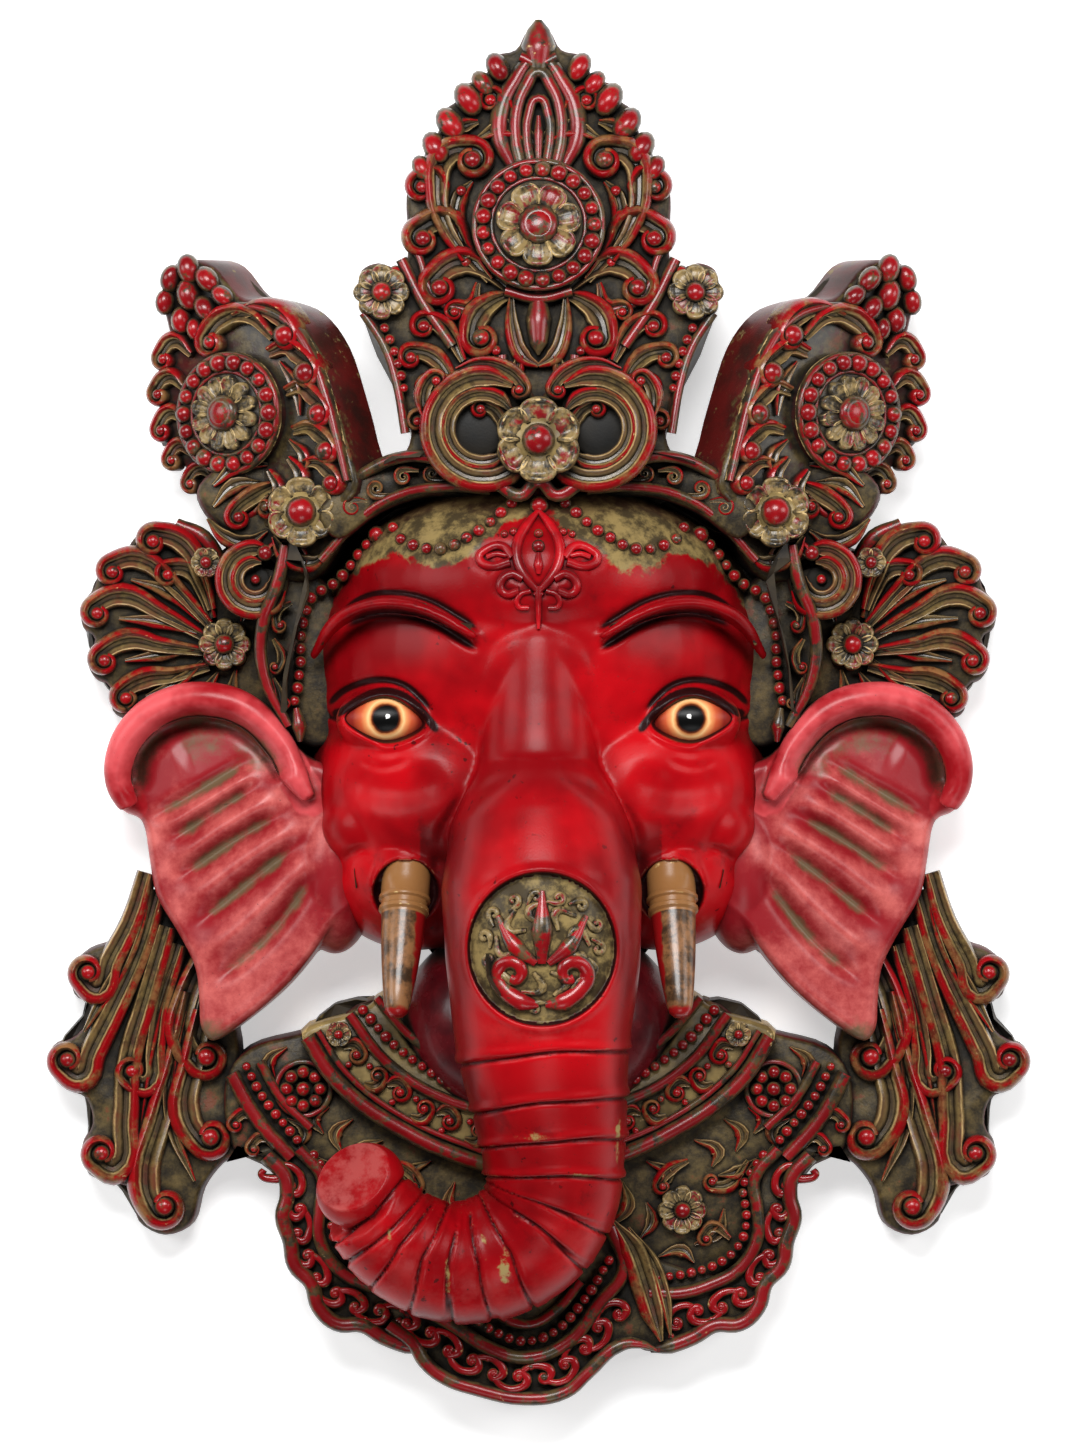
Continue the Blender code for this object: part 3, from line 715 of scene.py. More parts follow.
def stroke_colours(tree, brushed):
    """Across a carved stroke: dark wall, cream line, grey channel, cream line, red edge, red wall."""
    across = place_node(tree, "ShaderNodeSeparateXYZ",
                        {0: place_node(tree, "ShaderNodeTexCoord").outputs["UV"]}).outputs["Y"]
    across = shaken(tree, across, noise(tree, 180, 4, 0.65), 0.07)
    stops = ((0.0, BLACK), (0.12, linear(40, 34, 26)), (0.19, linear(84, 60, 40)), (0.245, linear(196, 164, 110)),
             (0.285, linear(84, 60, 40)), (0.36, linear(112, 92, 60)), (0.44, linear(72, 58, 44)),
             (0.535, linear(118, 98, 64)), (0.57, CREAM), (0.61, linear(128, 14, 18)), (0.67, linear(154, 8, 17)),
             (0.76, linear(138, 9, 16)), (0.83, linear(112, 14, 16)), (0.90, linear(62, 20, 18)), (1.0, BLACK))
    banding = banded(tree, across, stops)
    bare = step_up(tree, noise(tree, 80, 5, 0.7), 0.46, 0.58)
    aged = between(tree, step_up(tree, noise(tree, 200, 4, 0.7), 0.36, 0.6), linear(58, 48, 30), linear(128, 108, 64))
    blotch = step_up(tree, noise(tree, 55, 4, 0.7), 0.5, 0.6)
    red = between(tree, sums(tree, "MULTIPLY", blotch, 0.35), banding, linear(116, 20, 20))
    return between(tree, sums(tree, "MULTIPLY", bare, 0.7), red, aged)


def top_painted(top, below, low, high, bare):
    """Paint that was brushed on the tops alone, and rubbed through in places."""
    def colours(tree, brushed):
        under = between(tree, step_up(tree, noise(tree, 210, 4, 0.7), 0.4, 0.62), below, linear(44, 38, 28))
        kept = step_up(tree, noise(tree, 120, 4, 0.7), bare, bare - 0.1)
        share = sums(tree, "MULTIPLY", upward(tree, low, high), kept)
        return between(tree, share, under, between(tree, brushed["Cloud"], linear(112, 8, 14), top))
    return colours


def ground_colours(tree, brushed, low=0.35, high=0.7):
    """Black and olive ground of the carving, its walls brown red."""
    olive = between(tree, step_up(tree, noise(tree, 150, 5, 0.7), 0.34, 0.72), linear(32, 26, 16), linear(98, 82, 48))
    red = step_up(tree, noise(tree, 75, 4, 0.7), 0.6, 0.68)
    olive = between(tree, sums(tree, "MULTIPLY", red, 0.5), olive, linear(120, 26, 26))
    wall = between(tree, brushed["Cloud"], linear(46, 22, 18), WALL_RED)
    return between(tree, upward(tree, low, high), wall, olive)


def slab_colours(tree, brushed):
    """The same on the side leaves, whose walls lean towards the viewer."""
    return ground_colours(tree, brushed, 0.72, 0.86)


def eye_colours(tree, brushed):
    """Painted eye, in rings about its middle, with a painted highlight dot."""
    out = shaken(tree, attribute(tree, "ring"), noise(tree, 300, 3), 0.9)
    glint, pupil = linear(240, 240, 236), linear(8, 8, 8)
    return banded(tree, sums(tree, "MULTIPLY", out, 0.05), (
        (0.0, glint), (0.05, glint), (0.06, pupil), (0.205, pupil), (0.235, linear(96, 40, 18)),
        (0.26, linear(200, 130, 76)), (0.30, linear(238, 192, 132)), (0.345, linear(220, 142, 88)),
        (0.42, linear(190, 84, 50)), (0.55, linear(130, 34, 26))))


def tusk_colours(tree, brushed):
    """Old bronze, red along one side and at the tip, gold on the band."""
    body = between(tree, step_up(tree, noise(tree, 120, 5, 0.7), 0.38, 0.62), linear(58, 42, 28), linear(140, 98, 62))
    red = sums(tree, "ADD", attribute(tree, "red_side"), sums(tree, "MULTIPLY", noise(tree, 200, 4), 0.6))
    body = between(tree, step_up(tree, red, 0.78, 0.95), body, linear(140, 18, 20))
    return between(tree, step_up(tree, attribute(tree, "band"), 0.4, 0.6), body, linear(142, 98, 56))


# The face's dirt reaches far: painted shade over the sides of the face and in its hollows, besides dirt.
FACE_PAINT = paint("face_lacquer", head_colours, grime_and_shade=0.014, grime_and_shade_start=0.3, edge=0.34, chip=0.66,
                   worn=linear(150, 84, 60), dirt_and_shade_colour=linear(40, 8, 9), rough=(0.3, 0.52), coat=0.0, bump=0.22, cloud=16.0,
                   dirt_and_shade_strength=0.72, specular=0.13)
EAR_PAINT = paint("ear_lacquer", ear_colours, grime_and_shade=0.010, grime_and_shade_start=0.32, edge=0.3, chip=0.66,
                  worn=linear(190, 150, 96), dirt_and_shade_colour=linear(60, 36, 26), rough=(0.34, 0.55), coat=0.0, bump=0.15,
                  cloud=40.0)
STROKE_PAINT = paint("carved_stroke_paint", stroke_colours, grime_and_shade=0.007, grime_and_shade_start=0.26, edge=0.42, chip=0.68,
                     dirt_and_shade_colour=linear(22, 17, 11), rough=(0.22, 0.5), bump=0.35)
GROUND_PAINT = paint("ground_paint", ground_colours, grime_and_shade=0.008, grime_and_shade_start=0.24, edge=0.3, chip=0.68, worn=OLIVE,
                     dirt_and_shade_colour=linear(17, 13, 8), rough=(0.45, 0.8), coat=0.0, bump=0.7)
# Near black: painted shade deep in the hollows.
HOLLOW_SHADE_PAINT = paint("painted_hollow_shade", clouded(linear(30, 24, 15), linear(9, 8, 6)), grime_and_shade=0.01, grime_and_shade_start=0.4, edge=0.5,
                   rough=(0.5, 0.9), coat=0.0)
BEAD_PAINT = paint("bead_paint", top_painted(linear(158, 10, 18), linear(88, 70, 44), 0.5, 0.78, 0.64), grime_and_shade=0.004,
                   grime_and_shade_start=0.34, edge=0.8, dirt_and_shade_colour=linear(30, 24, 18), rough=(0.26, 0.6), bump=0.3)
PETAL_PAINT = paint("petal_paint", top_painted(linear(132, 18, 20), linear(140, 118, 76), 0.8, 0.98, 0.5), grime_and_shade=0.005,
                    grime_and_shade_start=0.24, edge=0.34, worn=linear(206, 176, 120), dirt_and_shade_colour=linear(26, 22, 18),
                    rough=(0.32, 0.6), coat=0.2, bump=0.4)
RIDGE_PAINT = paint("ridge_paint", top_painted(linear(138, 14, 20), linear(82, 66, 40), 0.55, 0.92, 0.6),
                    grime_and_shade_start=0.3, edge=0.28, chip=0.69, dirt_and_shade_colour=linear(28, 22, 18), rough=(0.3, 0.6), coat=0.25,
                    bump=0.3)
MARK_PAINT = paint("brow_mark_paint", clouded(linear(186, 12, 24), linear(112, 8, 14)), grime_and_shade=0.003, grime_and_shade_start=0.5,
                   edge=0.5, chip=0.72, worn=linear(120, 66, 44), dirt_and_shade_colour=linear(34, 10, 10), rough=(0.3, 0.5), coat=0.1,
                   bump=0.2)
VINE_PAINT = paint("vine_paint", top_painted(linear(150, 12, 20), linear(104, 84, 50), 0.4, 0.75, 0.7),
                   grime_and_shade_start=0.28, edge=0.26, chip=0.69, dirt_and_shade_colour=linear(24, 18, 12), rough=(0.22, 0.5), bump=0.3)
BRONZE_PAINT = paint("bronze_paint", clouded(BRONZE, linear(86, 72, 44)), grime_and_shade=0.005, edge=0.22, chip=0.69,
                     dirt_and_shade_colour=linear(26, 22, 18), rough=(0.32, 0.6), coat=0.2, bump=0.4)
SLAB_PAINT = paint("slab_paint", slab_colours, grime_and_shade=0.008, grime_and_shade_start=0.26, edge=0.3, chip=0.68, worn=OLIVE,
                   dirt_and_shade_colour=linear(18, 16, 13), rough=(0.3, 0.6), coat=0.15, bump=0.5)
NECK_PAINT = paint("neck_paint", clouded(linear(104, 16, 24), linear(66, 10, 16)), grime_and_shade=0.014, grime_and_shade_start=0.36,
                   edge=0.4, chip=0.68)
CORE_PAINT = paint("core_paint", clouded(linear(60, 50, 34), linear(34, 28, 22)), grime_and_shade=0.01, grime_and_shade_start=0.5, edge=0.5,
                   worn=OLIVE, rough=(0.5, 0.8), coat=0.0)
EYE_PAINT = paint("painted_eye", eye_colours, grime_and_shade=0.002, grime_and_shade_start=0.6, edge=2.0, chip=0.8, rough=(0.3, 0.4),
                  coat=0.0, bump=0.05, specular=0.12)
TUSK_PAINT = paint("tusk_paint", tusk_colours, grime_and_shade=0.004, grime_and_shade_start=0.5, edge=0.26, chip=0.68,
                   dirt_and_shade_colour=linear(34, 22, 16), rough=(0.28, 0.5), coat=0.25, bump=0.3)


def give(item, material):
    item.data.materials.clear()
    item.data.materials.append(material)
    return item


def mark_edges(item):
    """Store how sharply each point stands out from its neighbours."""
    places, facing = corners(item), normals(item)
    pairs = np.empty(len(item.data.edges) * 2, dtype=np.int32)
    item.data.edges.foreach_get("vertices", pairs)
    pairs = pairs.reshape(-1, 2)
    run = places[pairs[:, 1]] - places[pairs[:, 0]]
    run /= np.maximum(np.linalg.norm(run, axis=1), 1e-6)[:, None]
    bend = np.zeros(len(places))
    count = np.zeros(len(places))
    for end, way in ((0, -1.0), (1, 1.0)):
        np.add.at(bend, pairs[:, end], way * (run * facing[pairs[:, end]]).sum(axis=1))
        np.add.at(count, pairs[:, end], 1)
    keep_value(item, "edge", np.clip(bend / np.maximum(count, 1), -1, 1))


def settle(item, stands_for="mask"):
    """A finished piece takes its node's place."""
    mark_edges(item)
    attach(item, "root")
    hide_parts(stands_for)
    return item


# The casting's own back, hollow and ground

HEAD_MIDDLE = (0, 4)
HEAD_HALF = (78, 76)
HOLLOW_HALF = (69, 64)
HOLLOW_TOP = 55
DRAWN_IN = 3.5          # how far the solid's front lies under the carving
SOCKET_FLOOR = 50       # it stays below the tusks' sockets


def core():
    """The solid itself, its front drawn in under the carving, its back and hollow kept."""
    item = twin(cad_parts["mask"], "core")
    active(item)
    bpy.ops.object.mode_set(mode="EDIT")
    bpy.ops.mesh.select_all(action="SELECT")
    bpy.ops.mesh.remove_doubles(threshold=1e-6)
    bpy.ops.object.mode_set(mode="OBJECT")
    places, facing = corners(item), normals(item)
    hollow = in_oval(places, HEAD_MIDDLE, HOLLOW_HALF) & (facing[:, 2] < 0.2) & (places[:, 2] < HOLLOW_TOP)
    back = places[:, 2] < 0.3
    drawn = places - DRAWN_IN * facing * ~hollow[:, None]
    head = in_oval(places, HEAD_MIDDLE, HEAD_HALF)
    nose = (np.abs(places[:, 0]) < 36) & (places[:, 1] > -60) & (places[:, 1] < 34)
    socket = np.hypot(np.abs(places[:, 0]) - 44, places[:, 1] + 58) < 17
    ear_root = (np.abs(places[:, 0]) > 66) & (places[:, 1] < 0) & (places[:, 1] > -75)
    down = np.where(ear_root, 19.0, np.where(socket, 9.0, np.where(nose, 11.0, np.where(head, 4.0, 11.0))))
    drawn[:, 2] -= np.clip(facing[:, 2] * 1.6, 0, 1) * down * ~hollow
    drawn[:, 2] = np.where(socket, np.minimum(drawn[:, 2], SOCKET_FLOOR), drawn[:, 2])
    drawn[:, 2] = np.where(back, places[:, 2], np.maximum(drawn[:, 2], 1.0))
    set_corners(item, drawn)
    give(item, CORE_PAINT)
    return settle(item)


# Face and trunk

TRUNK_LINE = [(0, 25, 60), (0, 3, 63), (0, -19, 66), (0.5, -39, 73), (1, -58, 77.5), (1.5, -82, 80.5), (1.5, -108, 75),
              (3.5, -128, 69), (5, -147, 61), (3.5, -163, 54), (-7, -176.5, 49), (-25, -182.5, 49), (-43, -177, 57),
              (-57, -163, 66)]
TRUNK_WIDTHS = [18, 18.5, 20.5, 29.5, 33, 32, 29, 26, 23.5, 22, 21.5, 20.5, 19, 16]
BROW_ROLL = [(75, 18, 46), (66, 30, 60), (56, 34, 68), (45, 34.5, 74), (33, 31, 77), (20, 24, 79)]
BROW = [(73.5, 19.2), (66.9, 30), (56.3, 35.4), (45.6, 36), (35, 33.2), (25.4, 27.6), (18.5, 23)]
EYE_OPENING = [(63.6, -2.2), (57.4, 2.9), (50.4, 4.8), (43.6, 2.1), (37.6, -4.2), (43.6, -8.8), (51, -10.2),
               (58.4, -7.2)]
CAP_EDGE = [(79, 6), (75, 26), (71, 33), (58.4, 49), (45.6, 51), (37, 47.8), (27.6, 47), (19, 53.5), (10.5, 61),
            (0, 66)]
TRUNK_RINGS = [(2, -113), (3, -127.5), (4, -140), (5, -151.5), (4, -163), (-1, -171), (-9, -177.5), (-18, -181),
               (-28, -182), (-37, -179.5), (-44.5, -176), (-50.5, -171), (-55.5, -165)]
MEDALLION = (1.2, -77.3)
TRUNK_TIP = (-58.5, -156, 70)
TIP_FACING = (-0.31, 0.42, 0.853)      # the way its flat face looks
TIP_DEPTH = 7.2                        # of that face before the tip's middle
TIP_REACH = 22
TUSK_MOUTH = (44, -60.5, 62)           # where a tusk leaves the cheek
TUSK_HEADING = (2.5, -38, 15)
EYE_MIDDLE = (50.4, -2.6, 55.6)
SOCKET_MIDDLE = (43.8, -59.5)

# Places on the trunk: worn gold, and paler pink that is partly worn paint and partly painted sheen; x, y, width, height
GOLD_SPOTS = [(-2, -139, 18, 3), (-11, -184, 3.4, 15), (-18, -174, 3, 8), (14, -152, 12, 1.6), (26, -140, 1.6, 16),
              (-49, -172, 2, 8), (-30, -186, 2, 12)]
PALE_SPOTS = [(-18, -193, 26, 9), (-48, -184, 12, 12), (-62, -163, 12, 12), (14, -178, 10, 12), (0, -104, 26, 3)]


def head_clay():
    """Skull, cheeks, brows, nose and trunk in one skin, then the chisel."""
    clay = [ball((0, 4, 10), (79, 74, 63)), ball((0, 19, 12), (78, 61, 66)), ball((0, 42, 30), (64, 38, 50)),
            ball((0, -70, 10), (34, 34, 46)), roll(TRUNK_LINE, TRUNK_WIDTHS), ball(TRUNK_TIP, (15.5, 13.5, 13), 38)]
    for side in SIDES:
        clay.append(ball((side * 34, -26, 20), (43, 42, 54)))
        clay.append(ball((side * 41, -50, 16), (33, 30, 50)))
        clay.append(ball((side * 56, -38, 44), (16, 14, 17.5)))
        clay.append(ball((side * 50, -3, 54), (17, 11.5, 16)))
        clay.append(roll(mirrored([(45, -43, 52), (44.5, -51, 56.5), (44, -58, 59)], side), [8, 11, 11.5]))
        clay.append(roll(mirrored(BROW_ROLL, side), [1.6, 2.8, 3.2, 3, 2.4, 1.4]))
    item = melt("face_and_trunk", clay, 16, cut_below=5)
    hollow_out(item)
    cut_faces(item)
    return item


def hollow_out(item):
    """Open the head behind the face, a little wider than the casting's own hollow, whose wall then shows."""
    cutter = ball((*HEAD_MIDDLE, 0), (69.5, 64.5, 58.5))
    active(item)
    opening = item.modifiers.new("hollow", "BOOLEAN")
    opening.operation = "DIFFERENCE"
    opening.solver = "MANIFOLD"
    opening.object = cutter
    bpy.ops.object.modifier_apply(modifier="hollow")
    bpy.data.objects.remove(cutter)


def cut_faces(item):
    """Brows, lids, creases, the trunk's rings and the round recess for its medallion; the cuts and creases are painted
    shaded, and the lids get a dark line.
    """
    chisel = Chisel(item)
    for side in SIDES:
        brow = mirrored(BROW, side)
        chisel.ridge(brow, 2.0, 1.8, 0.12, power=4)
        # Painted shadow under the brow.
        chisel.ridge(mirrored([(x, y - 3.9) for x, y in BROW[1:]], side), 1.3, -2.4, 0.2, 1.3)
        chisel.ridge(mirrored([(x, y + 3.0) for x, y in BROW[1:]], side), 0.9, -1.1, 0.15, 1.2)
        # A valley under the eye, painted a little shaded.
        chisel.ridge(mirrored([(29, -19), (41, -25.5), (55, -25), (68, -18)], side), 7.0, -3.6, 0.3, 0.2)
        near, _, _ = chisel.off_line(mirrored(EYE_OPENING, side), closed=True)
        inside = polygon_holds(chisel.places, smooth_line(mirrored(EYE_OPENING, side), 6, True))
        gap = np.where(inside, -near, near)
        chisel.places[:, 2] -= 5.5 * ease(0.6, -1.6, gap) * chisel.facing
        chisel.places[:, 2] += 1.5 * np.exp(-((gap - 1.6) / 1.3) ** 2) * chisel.facing
        chisel.dark = np.maximum(chisel.dark, 0.9 * np.exp(-((gap + 0.2) / 0.7) ** 2) * chisel.facing)
        chisel.ridge(mirrored([(71, 1), (64, 7.2), (53, 10.4), (43, 8), (33.5, -1.4)], side), 1.1, -1.5, 0.14, 1.2)
        chisel.ridge(mirrored([(70, -1), (64.6, 0.2), (57.6, 4.7), (50.3, 6.6), (42.8, 4), (36, -3), (32.5, -8)], side),
                     1.25, 0.2, 0.12, 1.5)
        chisel.ridge(mirrored([(64, -3), (69, -2), (72, 1)], side), 0.9, -1.2, 0.3, 0.8)
        chisel.ridge(mirrored([(61, -15.5), (51, -18.5), (41, -15.5)], side), 1.6, -0.7, 0.3, 0.15)
        chisel.ridge(mirrored([(51.5, -47.6), (57.5, -45.6), (63, -48), (64.6, -53), (63.4, -60)], side), 1.7, -1.8,
                     0.3, 0.3)
        chisel.ridge(mirrored([(33, -44), (33.6, -54), (33, -66), (31.5, -78)], side), 2.2, -1.6, 0.25, 0.3)
        # Painted shade inside each tusk's socket.
        away = np.hypot(chisel.places[:, 0] - side * SOCKET_MIDDLE[0], chisel.places[:, 1] - SOCKET_MIDDLE[1])
        front = chisel.places[:, 1] < -49
        chisel.places[:, 2] -= 5.0 * ease(11.4, 9.6, away) * chisel.facing * front
        chisel.dark = np.maximum(chisel.dark, ease(11.2, 10.0, away) * chisel.facing * front)
    chisel.ridge([(-19, -2), (-19.5, 10), (-16.5, 20), (-9, 25.5), (0, 27.5), (9, 25.5), (16.5, 20), (19.5, 10),
                  (19, -2)], 2.6, -0.8, 0.25)
    for side in SIDES:
        chisel.ridge(mirrored([(6, -18), (15, -23.5), (24, -30), (30.5, -38), (34, -48)], side), 2.6, -1.7, 0.3, 0.1)
        for line in ([(0, 66), (4, 61), (7.4, 54), (6.6, 47), (3, 42), (0, 36)],
                     [(8.6, 50.5), (13, 54), (19.5, 50.6), (14, 47)],
                     [(5.2, 43.5), (10, 45), (12, 40), (7, 38)]):
            chisel.ridge(mirrored(line, side), 2.7, -0.9, 0.1, 0.42)
    chisel.ridge([(0, 40), (0, 27)], 2.0, -0.6, 0.2, 0.4)
    near, _, along = chisel.off_line(TRUNK_LINE)
    on_trunk = ease(36, 32, near) * (chisel.places[:, 2] > 34) * ease(-104, -108, chisel.places[:, 1])
    facing = normals(item)
    line = smooth_line([point[:2] for point in TRUNK_LINE], 6)
    for number, spot in enumerate(TRUNK_RINGS):
        nearest = int(np.argmin(np.hypot(line[:, 0] - spot[0], line[:, 1] - spot[1])))
        at = nearest / (len(line) - 1)
        wave = 0.0009 * np.sin(chisel.places[:, 0] * 0.2 + number * 2)
        droop = 0.000011 * (near ** 2) * (1 if number < 5 else 0) + (0.005 * np.sin(near * 0.11 + number)
                                                                     if number > 4 else 0)
        off = (along + wave - droop - at) / (0.0027 if number < 6 else 0.0025)
        cut = np.exp(-off ** 2) * on_trunk
        step = np.exp(-((off + 2.6) / 2.2) ** 2) * on_trunk
        chisel.places += facing * ((0.9 if number < 4 else 0.3) * step - 1.6 * cut)[:, None]
        # Painted shade in each ring's groove.
        chisel.dark = np.maximum(chisel.dark, 0.62 * cut)
    facing_tip = np.array(TIP_FACING)
    beyond = (chisel.places - np.array(TRUNK_TIP)) @ facing_tip - TIP_DEPTH
    at_tip = np.linalg.norm(chisel.places - np.array(TRUNK_TIP), axis=1) < TIP_REACH
    chisel.places -= np.outer(np.where(at_tip, np.maximum(beyond, 0), 0), facing_tip)
    flat = at_tip * ease(-0.8, -0.2, beyond)
    out = np.hypot((chisel.places[:, 0] - MEDALLION[0]), (chisel.places[:, 1] - MEDALLION[1]) / 1.03)
    front = chisel.places[:, 2] > 70
    chisel.places[:, 2] += (0.9 * np.exp(-((out - 25.4) / 1.3) ** 2) - 3.4 * ease(24.6, 23.2, out)) * front
    # Painted shade in the groove round the medallion.
    chisel.dark = np.maximum(chisel.dark, 0.9 * np.exp(-((out - 23.6) / 0.9) ** 2) * front)
    places = chisel.places
    cap = np.interp(np.abs(places[:, 0]), [x for x, _ in reversed(CAP_EDGE)], [y for _, y in reversed(CAP_EDGE)])
    keep_value(item, "cap", np.where((out < 23.6) & front, 8.0, places[:, 1] - cap))
    keep_value(item, "gold", 0.55 * spots(places, GOLD_SPOTS))
    # Paler pink on the trunk and its tip's flat face: partly worn paint, partly painted sheen.
    keep_value(item, "pale", np.maximum(0.16 * spots(places, PALE_SPOTS), 0.7 * flat))
    # The lower trunk is painted darker towards the bottom, and the rounded flanks of the trunk are painted shaded.
    low = ease(-96, -128, places[:, 1]) * ease(-176, -160, places[:, 1])
    half = np.interp(places[:, 1], [-200, -150, -100, -58, -30], [21, 23, 27, 32, 27])
    flank_shade = ease(0.55, 1.0, near / half) * ease(-22, -46, places[:, 1]) * (places[:, 2] > 20) * (near < 40)
    chisel.dark = np.maximum(chisel.dark, np.maximum(0.36 * low * (near < 40), 0.45 * flank_shade))
    # Painted shade in the creases and on the trunk, with the lids' dark line; the face paint turns it near black.
    keep_value(item, "cut", chisel.dark)
    chisel.done()


def polygon_holds(places, line):
    """Which places lie inside a closed line, in plan."""
    x, y = places[:, 0], places[:, 1]
    inside = np.zeros(len(places), dtype=bool)
    for (ax, ay), (bx, by) in zip(line, np.roll(line, -1, axis=0)):
        crosses = (ay > y) != (by > y)
        level = ax + (y - ay) * (bx - ax) / (by - ay if by != ay else 1e-9)
        inside ^= crosses & (x < level)
    return inside


def face_and_trunk():
    item = head_clay()
    thin(item, FACE_TRIANGLES)
    give(item, FACE_PAINT)
    return settle(item)


def eyes():
    """Painted eyeballs under the lids."""
    for side, name in ((LEFT, "eye_left"), (RIGHT, "eye_right")):
        item = ball(*mirrored([EYE_MIDDLE], side), (16.5, 9.6, 11.6))
        item.name = name
        active(item)
        bpy.ops.object.transform_apply(location=True, rotation=True, scale=True)
        subdivide = item.modifiers.new("finer", "SUBSURF")
        subdivide.levels = subdivide.render_levels = 2
        bpy.ops.object.modifier_apply(modifier="finer")
        item.data.shade_smooth()
        places = corners(item)
        ring = np.hypot(places[:, 0] - side * 50.2, places[:, 1] + 2.4)
        # A painted highlight dot beside the pupil's middle.
        shine = np.hypot(places[:, 0] - side * 49.6, places[:, 1] + 1.6)
        keep_value(item, "ring", np.where(shine < 0.75, 0.2, np.maximum(ring, 1.8)))
        settle(give(item, EYE_PAINT))


def tusks():
    """Each tusk: a gold band at its root, then a body that tapers to a blunt tip."""
    profile = [(8.0, -9.5), (8.0, 0.4), (8.5, 1.2), (8.5, 2.2), (7.7, 2.8), (7.7, 4.4), (8.3, 5.0), (8.3, 6.2),
               (7.4, 7.0), (7.2, 10), (6.8, 17), (6.1, 25), (5.3, 32), (4.5, 38), (3.6, 41.2), (2.2, 42.6), (0.5, 43.0)]
    for side, name in ((LEFT, "tusk_left_fine"), (RIGHT, "tusk_right_fine")):
        deselect()
        bpy.ops.mesh.primitive_circle_add(vertices=40, radius=profile[0][0] * UNIT, fill_type="NGON",
                                          location=(0, 0, profile[0][1] * UNIT))
        item = bpy.context.view_layer.objects.active
        bpy.ops.object.transform_apply(location=True, rotation=True, scale=True)
        bpy.ops.object.mode_set(mode="EDIT")
        bpy.ops.mesh.select_all(action="SELECT")
        for (radius, rise), (wide, high) in zip(profile, profile[1:]):
            bpy.ops.mesh.extrude_region_move(TRANSFORM_OT_translate={"value": (0, 0, (high - rise) * UNIT)})
            bpy.ops.transform.resize(value=(wide / radius, wide / radius, 1))
        bpy.ops.mesh.select_all(action="SELECT")
        bpy.ops.mesh.fill_holes(sides=0)
        bpy.ops.mesh.normals_make_consistent(inside=False)
        bpy.ops.mesh.subdivide(number_cuts=1)
        bpy.ops.object.mode_set(mode="OBJECT")
        item.name = name
        places = corners(item)
        keep_value(item, "band", (places[:, 2] < 7.2).astype(float))
        keep_value(item, "red_side", np.maximum(ease(1, 6, -side * places[:, 0]), ease(36, 42, places[:, 2])) * 0.75)
        mouth, heading = [Vector(mirrored([spot], side)[0]) for spot in (TUSK_MOUTH, TUSK_HEADING)]
        item.matrix_world = (Matrix.Translation(mouth * UNIT)
                             @ heading.normalized().to_track_quat("Z", "Y").to_matrix().to_4x4())
        active(item)
        bpy.ops.object.transform_apply(location=True, rotation=True, scale=True)
        item.data.shade_smooth()
        item.data.set_sharp_from_angle(angle=math.radians(40))
        settle(give(item, TUSK_PAINT), name.replace("_fine", ""))


# Ears

EAR_OUTLINE = [(66, -22), (77, -14), (86, -3), (97, 4.5), (108, 8), (123, 6), (137, -3), (143, -12), (144, -22),
               (140, -33), (133, -37), (130.5, -50), (128, -62), (120, -75.5), (115, -86), (113.8, -97), (113, -106),
               (108, -110.5), (97, -103.5), (84.5, -93), (75, -82), (67.5, -71), (60, -60)]
EAR_RIM = [(76, -29, 48), (81, -21, 46), (87, -10, 43.5), (97, 0, 42), (109, 3.8, 41), (122, 2.4, 39), (133, -4.5, 37),
           (139, -15, 35.5), (139.6, -24, 34), (136.5, -31.5, 32)]
EAR_FOLDS = [[(132, -37.5), (112, -26), (93, -14.3)], [(124.5, -44.5), (108, -33.5), (90, -22.5)],
             [(123, -58), (103, -44), (81, -31.5)], [(117, -74), (97, -57.5), (75, -40.5)],
             [(110, -92), (90, -75), (71, -50)]]


def ear_height(x):
    """The ear's own surface, falling away from the head."""
    return 47.5 - 0.27 * (x - 70) - 0.0016 * (x - 100) ** 2


